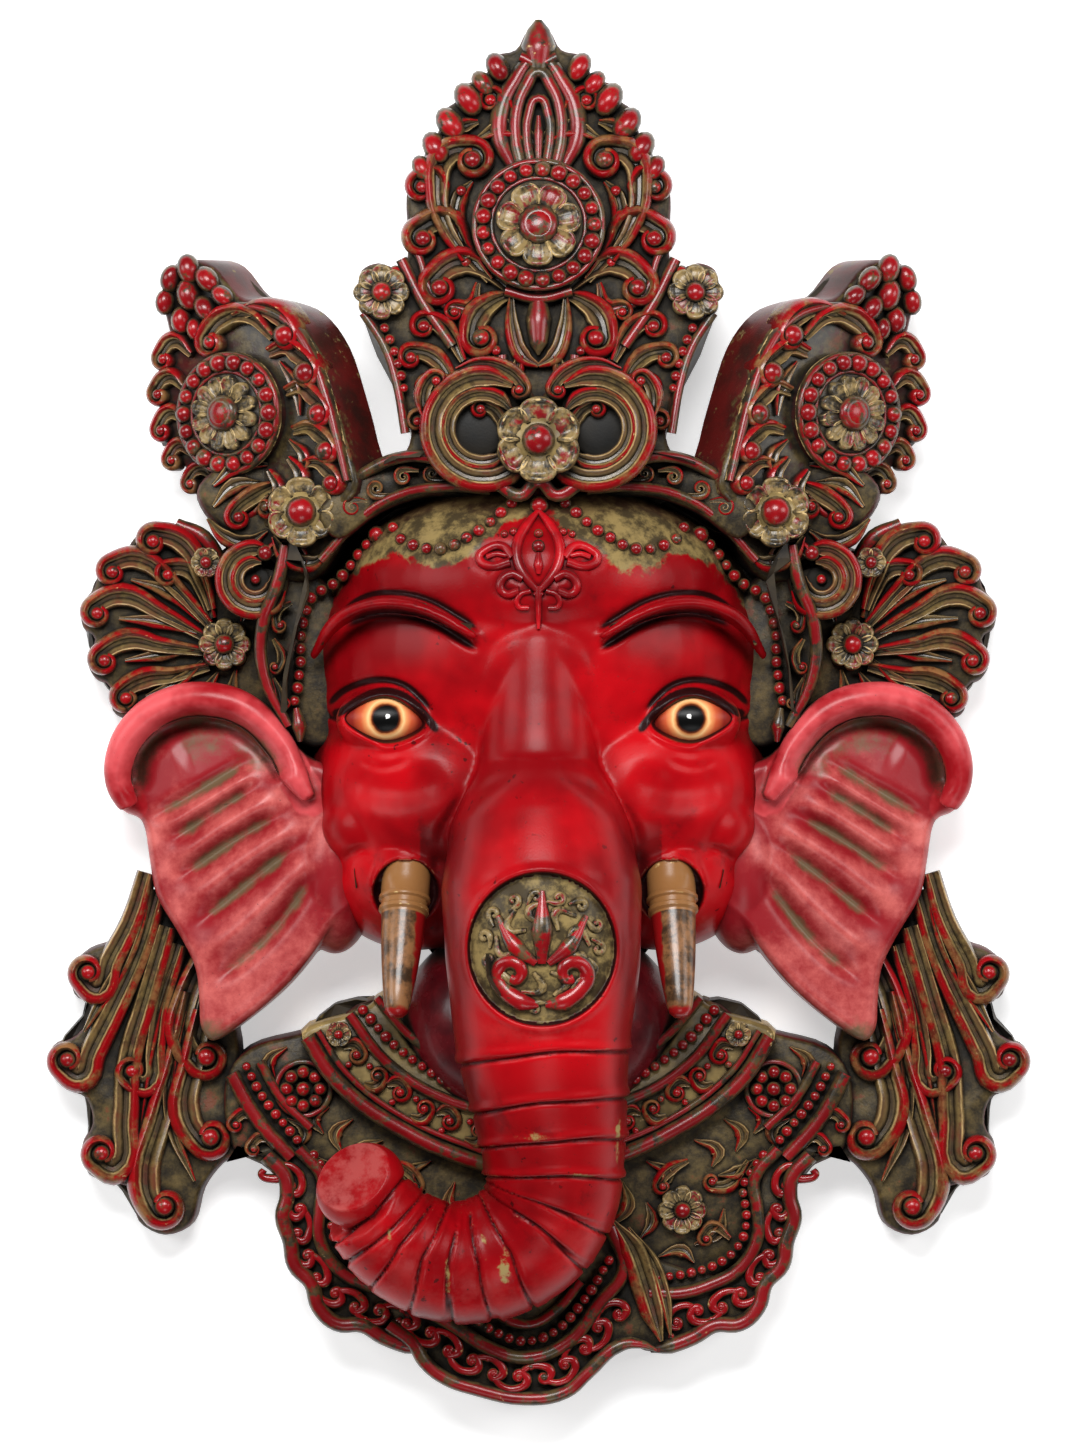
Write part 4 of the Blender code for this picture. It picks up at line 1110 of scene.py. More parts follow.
def ears():
    """Ears with a rolled rim and folds that fan out from the head; the left is the right one's mirror."""
    clay = [plate("ear_leaf", EAR_OUTLINE, 5, 30, 0.8, 2.5)]
    places = corners(clay[0])
    rise = ease(5, 29, places[:, 2])
    places[:, 2] += rise * (np.array([ear_height(x) for x in places[:, 0]]) - 31)
    set_corners(clay[0], places)
    clay.append(roll(EAR_RIM, [2.5, 4.6, 5.4, 5.8, 6, 5.8, 5.6, 5.2, 4.6, 3.6]))
    clay.append(ball((68, -50, 24), (15, 31, 25)))
    right = melt("ear_right", clay, 7, cut_below=2, grain=0.8)
    chisel = Chisel(right)
    rim_near, _, _ = chisel.off_line(EAR_RIM)
    inner = [(84, -24), (88.5, -15), (98.5, -6.5), (110, -3), (120, -4.6), (129, -10.5), (133.5, -18), (134, -28)]
    chisel.ridge(inner, 3.6, -3.4, 0.08, 0.55)
    chisel.ridge([(86, -24), (98, -14), (112, -11), (123, -15)], 8, -2.2, 0.2, 0.5)
    # Paler pink on the lower ear and the fold ridges: partly worn paint, partly painted sheen.
    pale = np.maximum(0, 0.7 * ease(-66, -84, chisel.places[:, 1]))
    for fold in EAR_FOLDS:
        chisel.ridge(fold, 2.6, -3.4, 0.3, 0.7)
    for first, second in zip(EAR_FOLDS, EAR_FOLDS[1:]):
        middle = [((a[0] + b[0]) / 2, (a[1] + b[1]) / 2) for a, b in zip(first, second)]
        chisel.ridge(middle, 3.8, 2.6, 0.25)
        near, _, _ = chisel.off_line(middle)
        pale = np.maximum(pale, 0.8 * np.exp(-(near / 5.4) ** 2))
    tip = ease(-92, -112, chisel.places[:, 1]) * 0.7
    keep_value(right, "cut", np.maximum(chisel.dark, tip))
    keep_value(right, "rim", ease(7.5, 4.5, rim_near))
    keep_value(right, "pale", pale)
    chisel.done()
    thin(right, EAR_TRIANGLES)
    give(right, EAR_PAINT)
    for item in (mirror_copy(right, "ear_left"), right):
        settle(item)


# Ornament regions: the right side is carved, its mirror is the left

VINE_LENGTH = 8.4        # from curl to curl of a border's vine
VINE_REACH = 4.0
VINE_HALF_WIDTH = 1.5
VINE_LIFT = 0.2
SCROLL = section("scroll_section", SCROLL_POINTS)
RIDGE = section("ridge_section", RIDGE_POINTS)
BEAD = bead_pattern()
PETAL = petal_pattern()


def mirror_copy(item, name=None):
    """The same piece for the left side."""
    copy = twin(item, name)
    set_corners(copy, corners(copy) * (-1, 1, 1))
    copy.data.flip_normals()
    return copy


class Region:
    """Carving that belongs together, in one piece for each finish."""

    def __init__(self, name, height, ground=GROUND_PAINT):
        self.name = name
        self.height = height
        self.ground = ground
        self.ridge_paint = RIDGE_PAINT
        self.scrolls = Strokes(name + "_scrolls", SCROLL)
        self.ridges = Strokes(name + "_ridges", RIDGE)
        self.vines = Strokes(name + "_vines", RIDGE)
        self.beads = []
        self.petals = []
        self.bronze = []
        self.plates = []
        # Near-black discs of painted shade in hollows.
        self.holes = []

    def curl(self, stem, centre, radius, hand, width=2.6, turns=1.05, lift=0.0, start=0.4):
        """A stem that ends in a curl with a knob at its heart."""
        step = 0.18 * (self.scrolls.count % 4)
        carve_curl(self.scrolls, self.height + lift + step, stem, centre, radius, hand,
                   min(width * FULLER_CURL, radius * 0.58), turns * 0.8, start)
        self.bead(*centre, radius * 0.38, lift + step + 0.2, 0.9)

    def curls(self, rows, width, turns=1.05, start=0.4):
        for stem, centre, radius, hand in rows:
            self.curl(stem, centre, radius, hand, width, turns, 0.0, start)

    def scroll(self, points, widths, lift):
        """A carved line, its red edge on the right of the way it is drawn."""
        widths = [width * FULLER_SCROLL for width in spread(widths, len(points))]
        widths[0] *= THIN_END
        widths[-1] *= THIN_END
        self.scrolls.add(points, widths, self.height + lift + 0.18 * (self.scrolls.count % 4))

    def ridge(self, points, widths=1.6, lift=0.0, closed=False):
        if not isinstance(widths, (list, tuple)):
            widths = [widths]
        widths = [width * FULLER_RIDGE for width in widths]
        self.ridges.add(points, widths, self.height + lift, closed)

    def vine(self, points):
        """A running line of fat curls, turned up and down by turns."""
        length, reach = VINE_LENGTH, VINE_REACH
        line = smooth_line([(x, y, 0) for x, y in points], 10)[:, :2]
        along = lengths_along(line)
        count = round(along[-1] / length)

        def spot(way, out):
            at = np.clip(way, 0.6, along[-1] - 0.6)
            here, before, ahead = [np.array([np.interp(at + step, along, line[:, axis]) for axis in (0, 1)])
                                   for step in (0, -0.5, 0.5)]
            across = (ahead - before)[::-1] * (-1, 1) / np.linalg.norm(ahead - before)
            return tuple(here + across * out)

        for index in range(count):
            up = 1 if index % 2 else -1
            way = (index + 0.5) * along[-1] / count
            stem = [spot(way - 0.95 * length, -up * reach * 0.5), spot(way - 0.55 * length, -up * reach * 0.95),
                    spot(way - 0.05 * length, -up * reach * 0.9), spot(way + 0.3 * length, -up * reach * 0.2)]
            carve_curl(self.vines, self.height + VINE_LIFT + 0.12 * (index % 3), stem,
                       spot(way - 0.02 * length, up * reach * 0.12), reach * 0.78, up, VINE_HALF_WIDTH, 0.85, 0.75)
            self.bead(*spot(way - 0.02 * length, up * reach * 0.12), reach * 0.34, VINE_LIFT + 0.2, 0.9)
            if index % 2:
                self.bead(*spot(way + 0.5 * length, reach * 0.9), reach * 0.3, VINE_LIFT, 0.8)

    def ring(self, centre, radius, width, start=0, end=360, lift=0.0, carved=False):
        """Part of a ring, by degrees."""
        whole = end - start >= 360
        count = max(5, round(abs(end - start) / 30))
        angles = [math.radians(start + (end - start) * index / count) for index in range(count + (not whole))]
        points = [(centre[0] + radius * math.cos(angle), centre[1] + radius * math.sin(angle)) for angle in angles]
        if carved:
            self.scroll(points, width, lift)
        else:
            self.ridge(points, width, lift, whole)

    def bead(self, x, y, radius, lift=0.0, flat=0.9):
        self.beads.append(stamp(BEAD, (x, y, self.height + lift), radius, flat=flat))

    def shade_disc(self, x, y, radius, lift):
        """A near-black disc deep in a hollow: painted shade."""
        self.holes.append(stamp(BEAD, (x, y, self.height + lift), radius, flat=0.12))

    def buds(self, rows, lift=0.0):
        """Pointed knobs, each with the way it points in degrees."""
        for x, y, radius, way in rows:
            self.beads.append(stamp(BEAD, (x, y, self.height + lift), radius, math.radians(way), 1.15, 1.4))

    def knobs(self, rows, lift=0.0, flat=1.1):
        for x, y, radius in rows:
            self.bead(x, y, radius, lift, flat)

    def row(self, points, radius, gap, lift):
        self.beads.extend(bead_row(BEAD, points, radius, gap, self.height + lift))

    def petal_ring(self, centre, inner, length, count, wide, lift, spin=0.0):
        """Petals about a middle, from inner outward."""
        for index in range(count):
            turn = spin + 2 * math.pi * index / count
            place = (centre[0] + inner * math.cos(turn), centre[1] + inner * math.sin(turn), self.height + lift)
            size = wide * length * 0.8
            self.petals.append(stamp(PETAL, place, size, turn, 0.8, length / size))

    def blossom(self, centre, radius, count, ball, lift):
        """A small flower with a red ball."""
        self.petal_ring(centre, radius * 0.24, radius * 0.78, count, min(1.6, 9.8 / count), lift)
        self.bead(*centre, radius * ball, lift + radius * 0.2)

    def ball_flower(self, centre, radius, count, lift):
        """A flower of balls."""
        self.knobs([(*spot, radius * 0.42) for spot in circle(centre, radius, count)], lift)
        self.bead(*centre, radius * 0.45, lift + 0.8)

    def rosette(self, centre, radius, beads, petals, lift):
        """A large round ornament on a disc of its own."""
        self.plates.append(plate(self.name + "_disc", circle(centre, radius), self.height - 12, self.height + lift, 1.2,
                                 1.5))
        self.ring(centre, radius * 0.97, 0.9, lift=lift - 0.3)
        around = radius * 0.85
        size = math.pi * around / beads * 1.02
        for index, spot in enumerate(circle(centre, around, beads)):
            uneven = 1 + 0.1 * math.sin(5.1 * index)
            self.bead(*spot, size * uneven, lift + 0.4, 0.9)
        inside = around - size * 1.05
        self.ring(centre, inside, 0.7, lift=lift + 0.2)
        self.petal_ring(centre, inside * 0.34, inside * 0.62, petals, 1.34 * 7 / petals + 0.08, lift + 0.8, 0.2)
        boss = inside * 0.4
        self.bead(*centre, boss, lift + 2.4, 0.55)
        self.ring(centre, boss * 0.66, boss * 0.34, lift=lift + 3.3)

    def finish(self, mirror=True, shape=None):
        """Make the pieces, bend them by shape, and copy them to the left."""
        sets = [("scrolls", [self.scrolls.mesh(STROKE_PAINT)] if self.scrolls.count else [], STROKE_PAINT),
                ("ridges", [self.ridges.mesh(self.ridge_paint)] if self.ridges.count else [], self.ridge_paint),
                ("vines", [self.vines.mesh(VINE_PAINT)] if self.vines.count else [], VINE_PAINT),
                ("beads", self.beads, BEAD_PAINT), ("petals", self.petals, PETAL_PAINT),
                ("bronze", self.bronze, BRONZE_PAINT), ("holes", self.holes, HOLLOW_SHADE_PAINT),
                ("ground", self.plates, self.ground)]
        for suffix, items, material in sets:
            if not items:
                continue
            item = join(items, self.name + "_" + suffix)
            if shape:
                set_corners(item, shape(corners(item)))
            if mirror:
                item = join([item, mirror_copy(item)], self.name + "_" + suffix)
            give(item, material)
            settle(item)


# Crown

LEAF_OUTLINE = [(39, 78), (42.5, 92), (45.5, 104), (51, 120), (58.5, 136), (60.5, 141), (59, 147), (53, 149.5),
                (46, 147.5), (44, 152), (44, 162), (44.5, 171), (43, 178), (39, 182), (38, 189), (34, 193), (32.5, 200),
                (27.5, 204), (25.5, 209), (18.5, 212), (15, 219), (8, 221), (4.5, 227)]


def leaning_back(places):
    """Tilt the crown's middle leaf back towards its tip."""
    lean = -0.158 * (places[:, 1] - 96) * np.clip(places[:, 2] / 46, 0, 1)
    return places + np.stack([np.zeros(len(places)), np.zeros(len(places)), lean], axis=1)


def crown_leaf():
    """The tall middle leaf: flame, big spirals, rosette, curled leaves and a tongue."""
    middle = Region("crown_leaf_middle", 54)
    outline = [(0, 231)] + list(reversed([(x, y) for x, y in LEAF_OUTLINE])) + mirrored(LEAF_OUTLINE, LEFT)
    middle.plates.append(plate("crown_leaf_ground", outline, 1, 51, 0.6, 1.6))
    middle.rosette((0, 161.3), 21.7, 21, 7, 6.5)
    middle.ridge([(-9, 182), (-12.6, 190), (-12.4, 200), (-8.6, 208.5), (0, 217.5), (8.6, 208.5), (12.4, 200),
                  (12.6, 190), (9, 182)], [1.6, 2.6, 2.6, 2.2, 1.6, 2.2, 2.6, 2.6, 1.6], 0.2)
    middle.ridge([(-5.6, 181), (-7.6, 191), (-7, 201), (-4.2, 208), (0, 213), (4.2, 208), (7, 201), (7.6, 191),
                  (5.6, 181)], 1.7, 1.2)
    middle.ridge([(-2.6, 182), (-3.9, 191), (-3.4, 198), (0, 204), (3.4, 198), (3.9, 191), (2.6, 182)], 1.3, 1.5)
    middle.ridge([(0, 183), (0, 192), (0, 198)], [1.0, 1.4, 0.6], 1.2)
    middle.ridge([(0, 213), (0, 221.5), (0, 227), (0, 230.4)], [2.6, 4.5, 3.0, 0.9], 0)
    middle.ridge([(-6, 218), (0, 215.6), (6, 218)], 1.5, 0.8)
    middle.scroll([(-9, 140), (-8.4, 126), (-5, 117.5), (0, 114.4)], [1.2, 2.0, 2.2, 1.8], 0.4)
    middle.scroll([(0, 114.4), (5, 117.5), (8.4, 126), (9, 140)], [1.8, 2.2, 2.0, 1.2], 0.4)
    middle.ridge([(0, 139), (0, 130), (0, 122), (0, 118)], [1.6, 3.4, 2.4, 0.3], 0.8)
    middle.ridge([(-11, 139.5), (0, 137), (11, 139.5)], 1.5, 1.6)
    middle.finish(False, leaning_back)
    half = Region("crown_leaf", 54)
    half.buds([(13.6, 214.4, 3.8, 62), (18.6, 209, 3.4, 55), (23.4, 203.6, 4.4, 58), (29.4, 195.4, 4.4, 56),
               (34.2, 187.4, 4.2, 60), (38.6, 180.4, 3.4, 64)], -0.6)
    half.curl([(24, 150), (31, 161), (33.8, 173), (31, 185)], (22, 183.4), 8.4, 1, 3.2, 1.3, 1.4)
    half.curls([
        ([(28, 158), (33, 168), (34.6, 178)], (38.6, 174.2), 6.4, -1),
        ([(16, 143), (24, 153), (31, 163)], (38.4, 157), 7.8, -1),
        ([(9, 139.5), (18, 147), (26, 149.5)], (32.8, 140.6), 8.2, -1),
        ([(10, 138), (15, 136), (20, 132)], (19, 123.8), 8.0, -1),
        ([(6, 186), (9.5, 198)], (16, 203.4), 5.6, -1),
        ([(25, 116), (31, 127)], (38, 127.6), 5.8, -1),
        ([(27, 106), (34, 117)], (42.2, 117.2), 5.4, -1),
        ([(24, 98), (30, 108)], (36.4, 107), 5.4, -1),
        ([(32, 86), (35, 95)], (40, 96), 4.6, -1), ([(6, 118), (8, 112)], (13.5, 111), 4.6, 1),
        ([(20, 142), (23, 134)], (27.8, 132.4), 4.2, -1)], 3.3)
    half.curl([(20, 196), (24, 195)], (27.6, 190.8), 4.2, -1, 2.0, 0.9, -0.4)
    half.knobs([(27, 164.5, 2.2), (25.6, 173, 2.0), (14, 119.5, 1.8), (24, 149, 1.8), (47.5, 146, 2.0)], -0.5, 0.9)
    half.scroll([(0, 186), (4.5, 192), (12, 194), (20, 190.5)], [1.2, 2.2, 2.6, 2.2], 0.4)
    half.scroll([(22, 176), (26, 171), (27, 163), (24, 152)], [1.6, 2.2, 2.2, 1.4], -0.6)
    half.scroll([(30, 168), (26, 158), (20, 149)], [2.2, 1.8, 1.2], -0.8)
    half.ridge([(45.5, 150), (38.5, 136), (28.5, 121)], 1.5, 0.4)
    half.ridge([(40, 152), (33, 136), (24, 133)], 1.1, -0.6)
    half.ridge([(24, 112), (18, 108), (11, 112)], 1.6, 0)
    half.ridge([(12, 118), (11, 109), (5, 108)], 1.4, 0)
    half.ridge([(58, 132), (51, 121), (47, 109), (44, 92)], 1.2, 0.2)
    half.row([(51, 127), (47.5, 118.5), (44.5, 107)], 1.7, 4.2, 0.2)
    half.blossom((52, 139), 9.4, 8, 0.38, 0.8)
    half.finish(True, leaning_back)


def crown_base():
    """Ring sockets on each side of the jewel flower, and the band over the cap."""
    middle = Region("crown_base_middle", 78)
    middle.petal_ring((0, 89), 4.8, 9.8, 6, 1.7, 0, 0.52)
    middle.bronze.append(stamp(BEAD, (0, 89, 79.2), 8.6, flat=0.34))
    middle.ring((0, 89), 8.2, 0.7, lift=1.8)
    middle.bead(0, 89, 5.6, 3.6, 0.9)
    middle.ridge([(-13, 74.5), (-6, 71), (0, 75.5), (6, 71), (13, 74.5)], 1.7, -4)
    middle.finish(False)
    half = Region("crown_base", 74)
    half.plates.append(plate("socket_disc", circle((18, 93), 20.6), 30, 67, 0.8, 1.5))
    half.ring((18, 93), 17.0, 2.8, -150, 124, 0.8, True)
    half.ring((18.6, 93), 11.4, 2.0, -135, 150, -0.6, True)
    # Painted shade deep in the socket.
    half.shade_disc(19.4, 93, 9.4, -6.4)
    half.curl([(12, 90), (12.5, 97)], (19, 99.4), 4.4, -1, 1.7, 1.0, -3.4)
    half.curl([(27, 112), (19, 114.5), (10, 112)], (6.4, 105.6), 4.4, 1, 2.0, 0.9)
    half.curl([(37, 96), (38, 104)], (33.6, 108.5), 4.6, 1, 2.0, 0.9)
    band = [(20, 86), (44, 87), (61, 80), (74, 66), (66, 56), (52, 65), (36, 70), (14, 70)]
    half.plates.append(plate("crown_band", band, 20, 56, 1.0, 1.5))
    half.ridges.add([(31, 83, 66), (44, 84, 63), (57, 79, 57), (68, 70, 50)], 2.0)
    half.ridges.add([(16, 73, 66), (30, 74, 64), (46, 71.5, 60), (60, 63, 54), (72, 50, 50)], 1.7)
    for x, y, radius, hand, rise in ((35, 78.5, 3.6, 1, 61), (44.5, 77.4, 3.8, -1, 60.5), (53.5, 73.5, 3.8, 1, 58.5),
                                     (61.5, 67.5, 3.8, -1, 56)):
        line, widths = curl([(x - 5, y - 2 * hand)], (x, y), radius, hand, 1.4, 1.0)
        half.scrolls.add([(a, b, rise) for a, b in line][::hand], widths[::hand])
    half.finish()


SIDE_LEAF_OUTLINE = [(-37, 72), (-33, 90), (-29, 103), (-22, 121), (-12, 132.5), (0, 137), (10, 139), (20, 149),
                     (30, 151.5), (39, 148), (41, 136), (38.5, 124), (42, 112), (43, 100), (39, 90), (33, 82), (24, 74),
                     (14, 66), (2, 60), (-18, 62)]


def turned_out(places):
    """Lay a side leaf's own drawing on its slab, turned outward."""
    angle = math.radians(32)
    x, z = places[:, 0], places[:, 2]
    return np.stack([92 + x * math.cos(angle) + z * math.sin(angle), places[:, 1],
                     40 - x * math.sin(angle) + z * math.cos(angle)], axis=1)


def side_leaves():
    """The side leaves of the crown, drawn on their own slabs."""
    leaf = Region("side_leaf", 2, SLAB_PAINT)
    leaf.plates.append(plate("side_leaf_ground", SIDE_LEAF_OUTLINE, -20, -0.5, 0.5, 1.6))
    leaf.ridge([(-35, 76), (-31, 90), (-27, 103), (-20, 119), (-11, 129.5), (0, 134), (9, 135)],
               [0.9, 1.2, 1.3, 1.3, 1.3, 1.2, 0.9], 0.2)
    leaf.curls([
        ([(10, 131), (0, 134), (-7, 132)], (-10.6, 124.6), 6.4, 1),
        ([(-4, 119), (-11, 121), (-15, 119)], (-18.8, 112), 6.4, 1),
        ([(-11, 106), (-17, 107.5), (-21, 105)], (-24, 98.4), 5.8, 1),
        ([(-14, 93), (-20, 94), (-24, 92)], (-27, 86), 5.4, 1),
        ([(-18, 82), (-23, 82.4), (-27, 80)], (-29, 75.4), 4.8, 1)], 4.2, 1.1, 0.6)
    leaf.knobs([(-10.6, 124.6, 3.9), (-18.8, 112, 4.0), (-24, 98.4, 3.8), (-27, 86, 3.6), (-29, 75.4, 3.0)], 0.5, 0.9)
    leaf.curl([(-6, 124), (4, 131.6), (14, 131)], (18.5, 123), 6.8, -1, 3.4, 1.1, 0.8)
    leaf.curls([
        ([(27, 119), (34, 124)], (38, 117.8), 5.2, -1), ([(30, 108), (36, 112)], (40, 106), 5.0, -1),
        ([(30, 97), (36, 100)], (39, 94), 5.0, -1), ([(27, 86), (32, 89)], (34.6, 84), 4.6, -1),
        ([(18, 78), (24, 81)], (27, 76), 4.4, -1), ([(2, 76), (9, 77)], (15, 70.5), 4.6, -1),
        ([(-4, 80), (-8, 73)], (-3, 68), 4.6, 1), ([(-12, 84), (-17, 78)], (-14, 71), 4.8, 1)], 2.8, 1.0)
    leaf.scroll([(-22, 74), (-16, 66), (-6, 63)], [1.2, 2, 1.4], -0.4)
    leaf.scroll([(-4, 72), (6, 66), (16, 68)], [1.2, 2.2, 1.4], -0.4)
    leaf.scroll([(-8, 116), (-14, 108), (-16, 98)], [1.2, 2.0, 1.4], -0.6)
    leaf.scroll([(-12, 90), (-18, 84), (-16, 76)], [1.2, 2.0, 1.4], -0.6)
    leaf.rosette((9.8, 99), 20, 18, 12, 4.2)
    leaf.buds([(14.6, 138.4, 3.2, 40), (20.6, 144, 3.6, 50), (28, 147.6, 3.8, 75), (35.2, 144.6, 3.5, 110),
               (37.6, 136.8, 3.2, 95), (28, 139, 4.0, 75), (21.4, 134.4, 3.4, 55), (31, 130.6, 3.4, 90),
               (25.6, 127.6, 2.8, 80)], -0.2)
    leaf.finish(True, turned_out)
    foot = Region("side_leaf_foot", 52)
    base = [(60, 62), (58, 78), (70, 92), (100, 86), (114, 76), (112, 66), (100, 54), (96, 46), (74, 42)]
    foot.plates.append(plate("side_leaf_foot_ground", base, 10, 40, 1.5, 2))
    foot.plates.append(plate("jewel_base", circle((78.5, 66), 11), 20, 50, 1.0, 1.5))
    foot.petal_ring((78.5, 66), 4.4, 7.6, 6, 1.72, 0.5, 0.5)
    foot.bronze.append(stamp(BEAD, (78.5, 66, 54.2), 7.0, flat=0.34))
    foot.bead(78.5, 66, 5.3, 3.4, 0.9)
    foot.curl([(86, 76), (94, 72)], (99.5, 64.5), 5.4, -1, 2.2, 1.0, -9)
    foot.curl([(66, 78), (62, 72)], (64.4, 66.4), 4.2, 1, 2.0, 0.9, -3)
    foot.scroll([(90, 60), (97, 56), (104, 58), (110, 64)], [1.4, 2.2, 2, 1.2], -11)
    foot.scroll([(90, 82), (99, 82), (108, 75)], [1.4, 2.4, 1.6], -11)
    foot.scroll([(92, 76), (101, 75), (108, 68)], [1.4, 2.4, 1.6], -10.6)
    foot.scroll([(68, 84), (78, 88), (90, 88)], [1.4, 2.4, 1.6], -11)
    foot.scroll([(70, 52), (76, 49), (84, 52), (88, 58)], [1.2, 2.2, 2.2, 1.4], -3)
    foot.finish()
    swirl = Region("swirl_ring", 46)
    swirl.plates.append(plate("swirl_disc", circle((94, 43.8), 12), 4, 40, 0.8, 1.2))
    swirl.ring((94, 43.8), 10.2, 2.2, -160, 120, 0.6, True)
    swirl.ring((94, 43.8), 6.0, 1.7, -190, 110, 0.2, True)
    swirl.ring((84, 49), 6, 1.6, 20, 200, 1.2, True)
    # Painted shade deep in the ring.
    swirl.shade_disc(94, 43.8, 4.8, -5.4)
    swirl.bead(94, 43.8, 1.9, -4)
    swirl.bead(90.6, 52.6, 2.8, 0.6)
    swirl.blossom((110.5, 49.5), 5.2, 6, 0.45, -7)
    swirl.finish()


def fans():
    """Palmettes beside the temples, their stems spreading from a flower."""
    fan = Region("fan", 27)
    outline = [(66, -8), (66, 30), (84, 44), (100, 54), (115, 54), (122, 61), (130, 63), (136, 58), (140, 52),
               (147, 50), (149, 42), (153.5, 36), (153, 28), (149, 24), (151.5, 17), (149, 11), (144, 8), (143, 0),
               (137, -3), (120, -6)]
    fan.plates.append(plate("fan_ground", outline, 1, 24, 0.8, 1.6))
    fan.curl([(109, 34), (112, 44), (118, 56)], (128.6, 56.8), 6.6, -1, 3.0, 1.1, 1.5)
    fan.curls([
        ([(110, 29), (120, 40), (133, 51)], (142.2, 46.6), 6.2, -1),
        ([(112, 25), (126, 33), (139, 39)], (147.2, 32.8), 6.3, -1),
        ([(112, 20), (126, 22), (137, 24)], (144.8, 17), 6.2, -1),
        ([(110, 15), (122, 12), (131, 11)], (137.6, 4.4), 6.2, -1),
        ([(109, 31), (112, 40), (116, 47)], (123.6, 45.6), 5.6, -1)], 3.3, 1.05, 0.5)
    fan.scroll([(113, 30), (124, 40), (136, 44)], [1.0, 1.8, 1.4], -0.4)
    fan.scroll([(114, 26), (128, 30), (140, 31)], [1.0, 1.8, 1.4], -0.4)
    fan.scroll([(114, 21), (126, 19), (138, 17)], [1.0, 1.8, 1.4], -0.4)
    fan.scroll([(112, 17), (120, 10), (131, 5)], [1.0, 1.8, 1.4], -0.4)
    fan.scroll([(107, 13), (112, 6), (122, 0), (132, -2)], [1.2, 2.2, 2.4, 1.6], -0.2)
    fan.scroll([(101, 14), (104, 4), (112, -2), (120, -4)], [1.2, 2.2, 2.4, 1.6], -0.4)
    fan.scroll([(99, 30), (98, 37), (104, 44), (112, 52)], [1.2, 2.0, 2.2, 1.6], -0.2)
    fan.ridge([(104, 46), (112, 58), (121, 62.6)], [1.6, 2.2, 1.6], 0)
    fan.blossom((104.7, 22.4), 8.8, 8, 0.4, 2.4)
    fan.finish()
    temple = Region("temple", 44)
    side = [(66, -10), (64, 30), (74, 48), (86, 50), (92, 36), (93, 20), (88, 2), (84, -10)]
    temple.plates.append(plate("temple_ground", side, 4, 38, 1.5, 2))
    temple.ridges.add([(84, 55, 50), (86, 44, 50), (91.6, 28, 46), (91, 12, 45), (83, -5, 45)], [1.8, 2.2, 2.2, 2, 1.6])
    temple.curls([([(82, 36), (87, 33)], (85.6, 28.6), 3.2, -1), ([(88, 24), (85, 18)], (87.4, 14.8), 3.0, 1),
                  ([(88, 11), (86, 6)], (84.2, 3), 2.8, -1)], 1.4, 0.9)
    temple.finish()


# Swags, tilak and medallion lie on the head

def on_head(head, x, y):
    """Height of the head's skin."""
    hit, place, _, _ = head.ray_cast(Vector((x, y, 200)) * UNIT, Vector((0, 0, -1)))
    return place.z / UNIT if hit else 40.0


SWAG = [(6.3, 72.4), (9.5, 67.6), (14, 64.2), (17.5, 60.7), (22.2, 58), (27.6, 54.8), (33.2, 53.3), (37.7, 53.8),
        (41.9, 55), (45.6, 57), (48, 60.7), (48.8, 64.9), (47, 69.7)]
SIDE_STRING = [(53.6, 58.2), (57.3, 54.8), (60.5, 50.8), (63.7, 46.7), (66.9, 43.1), (70.9, 40.7), (75, 38.5),
               (77.5, 32), (78.8, 26.5), (79, 21.4), (79, 16.9), (79.5, 12.2), (80.1, 7.4), (81.1, 3.5)]


def swags(head):
    """Bead strings over the cap and down the temples."""
    string = Region("swag", 0)
    for points, size in ((SWAG, 2.15), (SIDE_STRING, 2.1)):
        line = smooth_line(points, 10)
        lengths = lengths_along(line)
        count = round(lengths[-1] / (2 * size + 0.25))
        for index in range(count + 1):
            at = lengths[-1] * index / count
            x, y = np.interp(at, lengths, line[:, 0]), np.interp(at, lengths, line[:, 1])
            rise = max(on_head(head, x, y), 41 if points is SIDE_STRING else 0)
            string.bead(x, y, size * (1 + 0.07 * math.sin(3.7 * index)), rise + 0.9, 0.95)
    string.bead(53.6, 58.6, 3.0, on_head(head, 53.6, 58.6) + 1.4)
    string.ridges.add([(80.4, 1, 44), (79.4, -5, 45), (79.2, -10, 44)], [1.2, 2.6, 1.0])
    string.finish()
    middle = Region("forehead_beads", 0)
    for x, y, size in ((0, 72.9, 2.8), (0.3, 67.8, 3.2)):
        middle.bead(x, y, size, on_head(head, x, y) + 1.6)
    middle.finish(False)


def lie_on(head, points, lift):
    return [(x, y, on_head(head, x, y) + lift) for x, y in points]


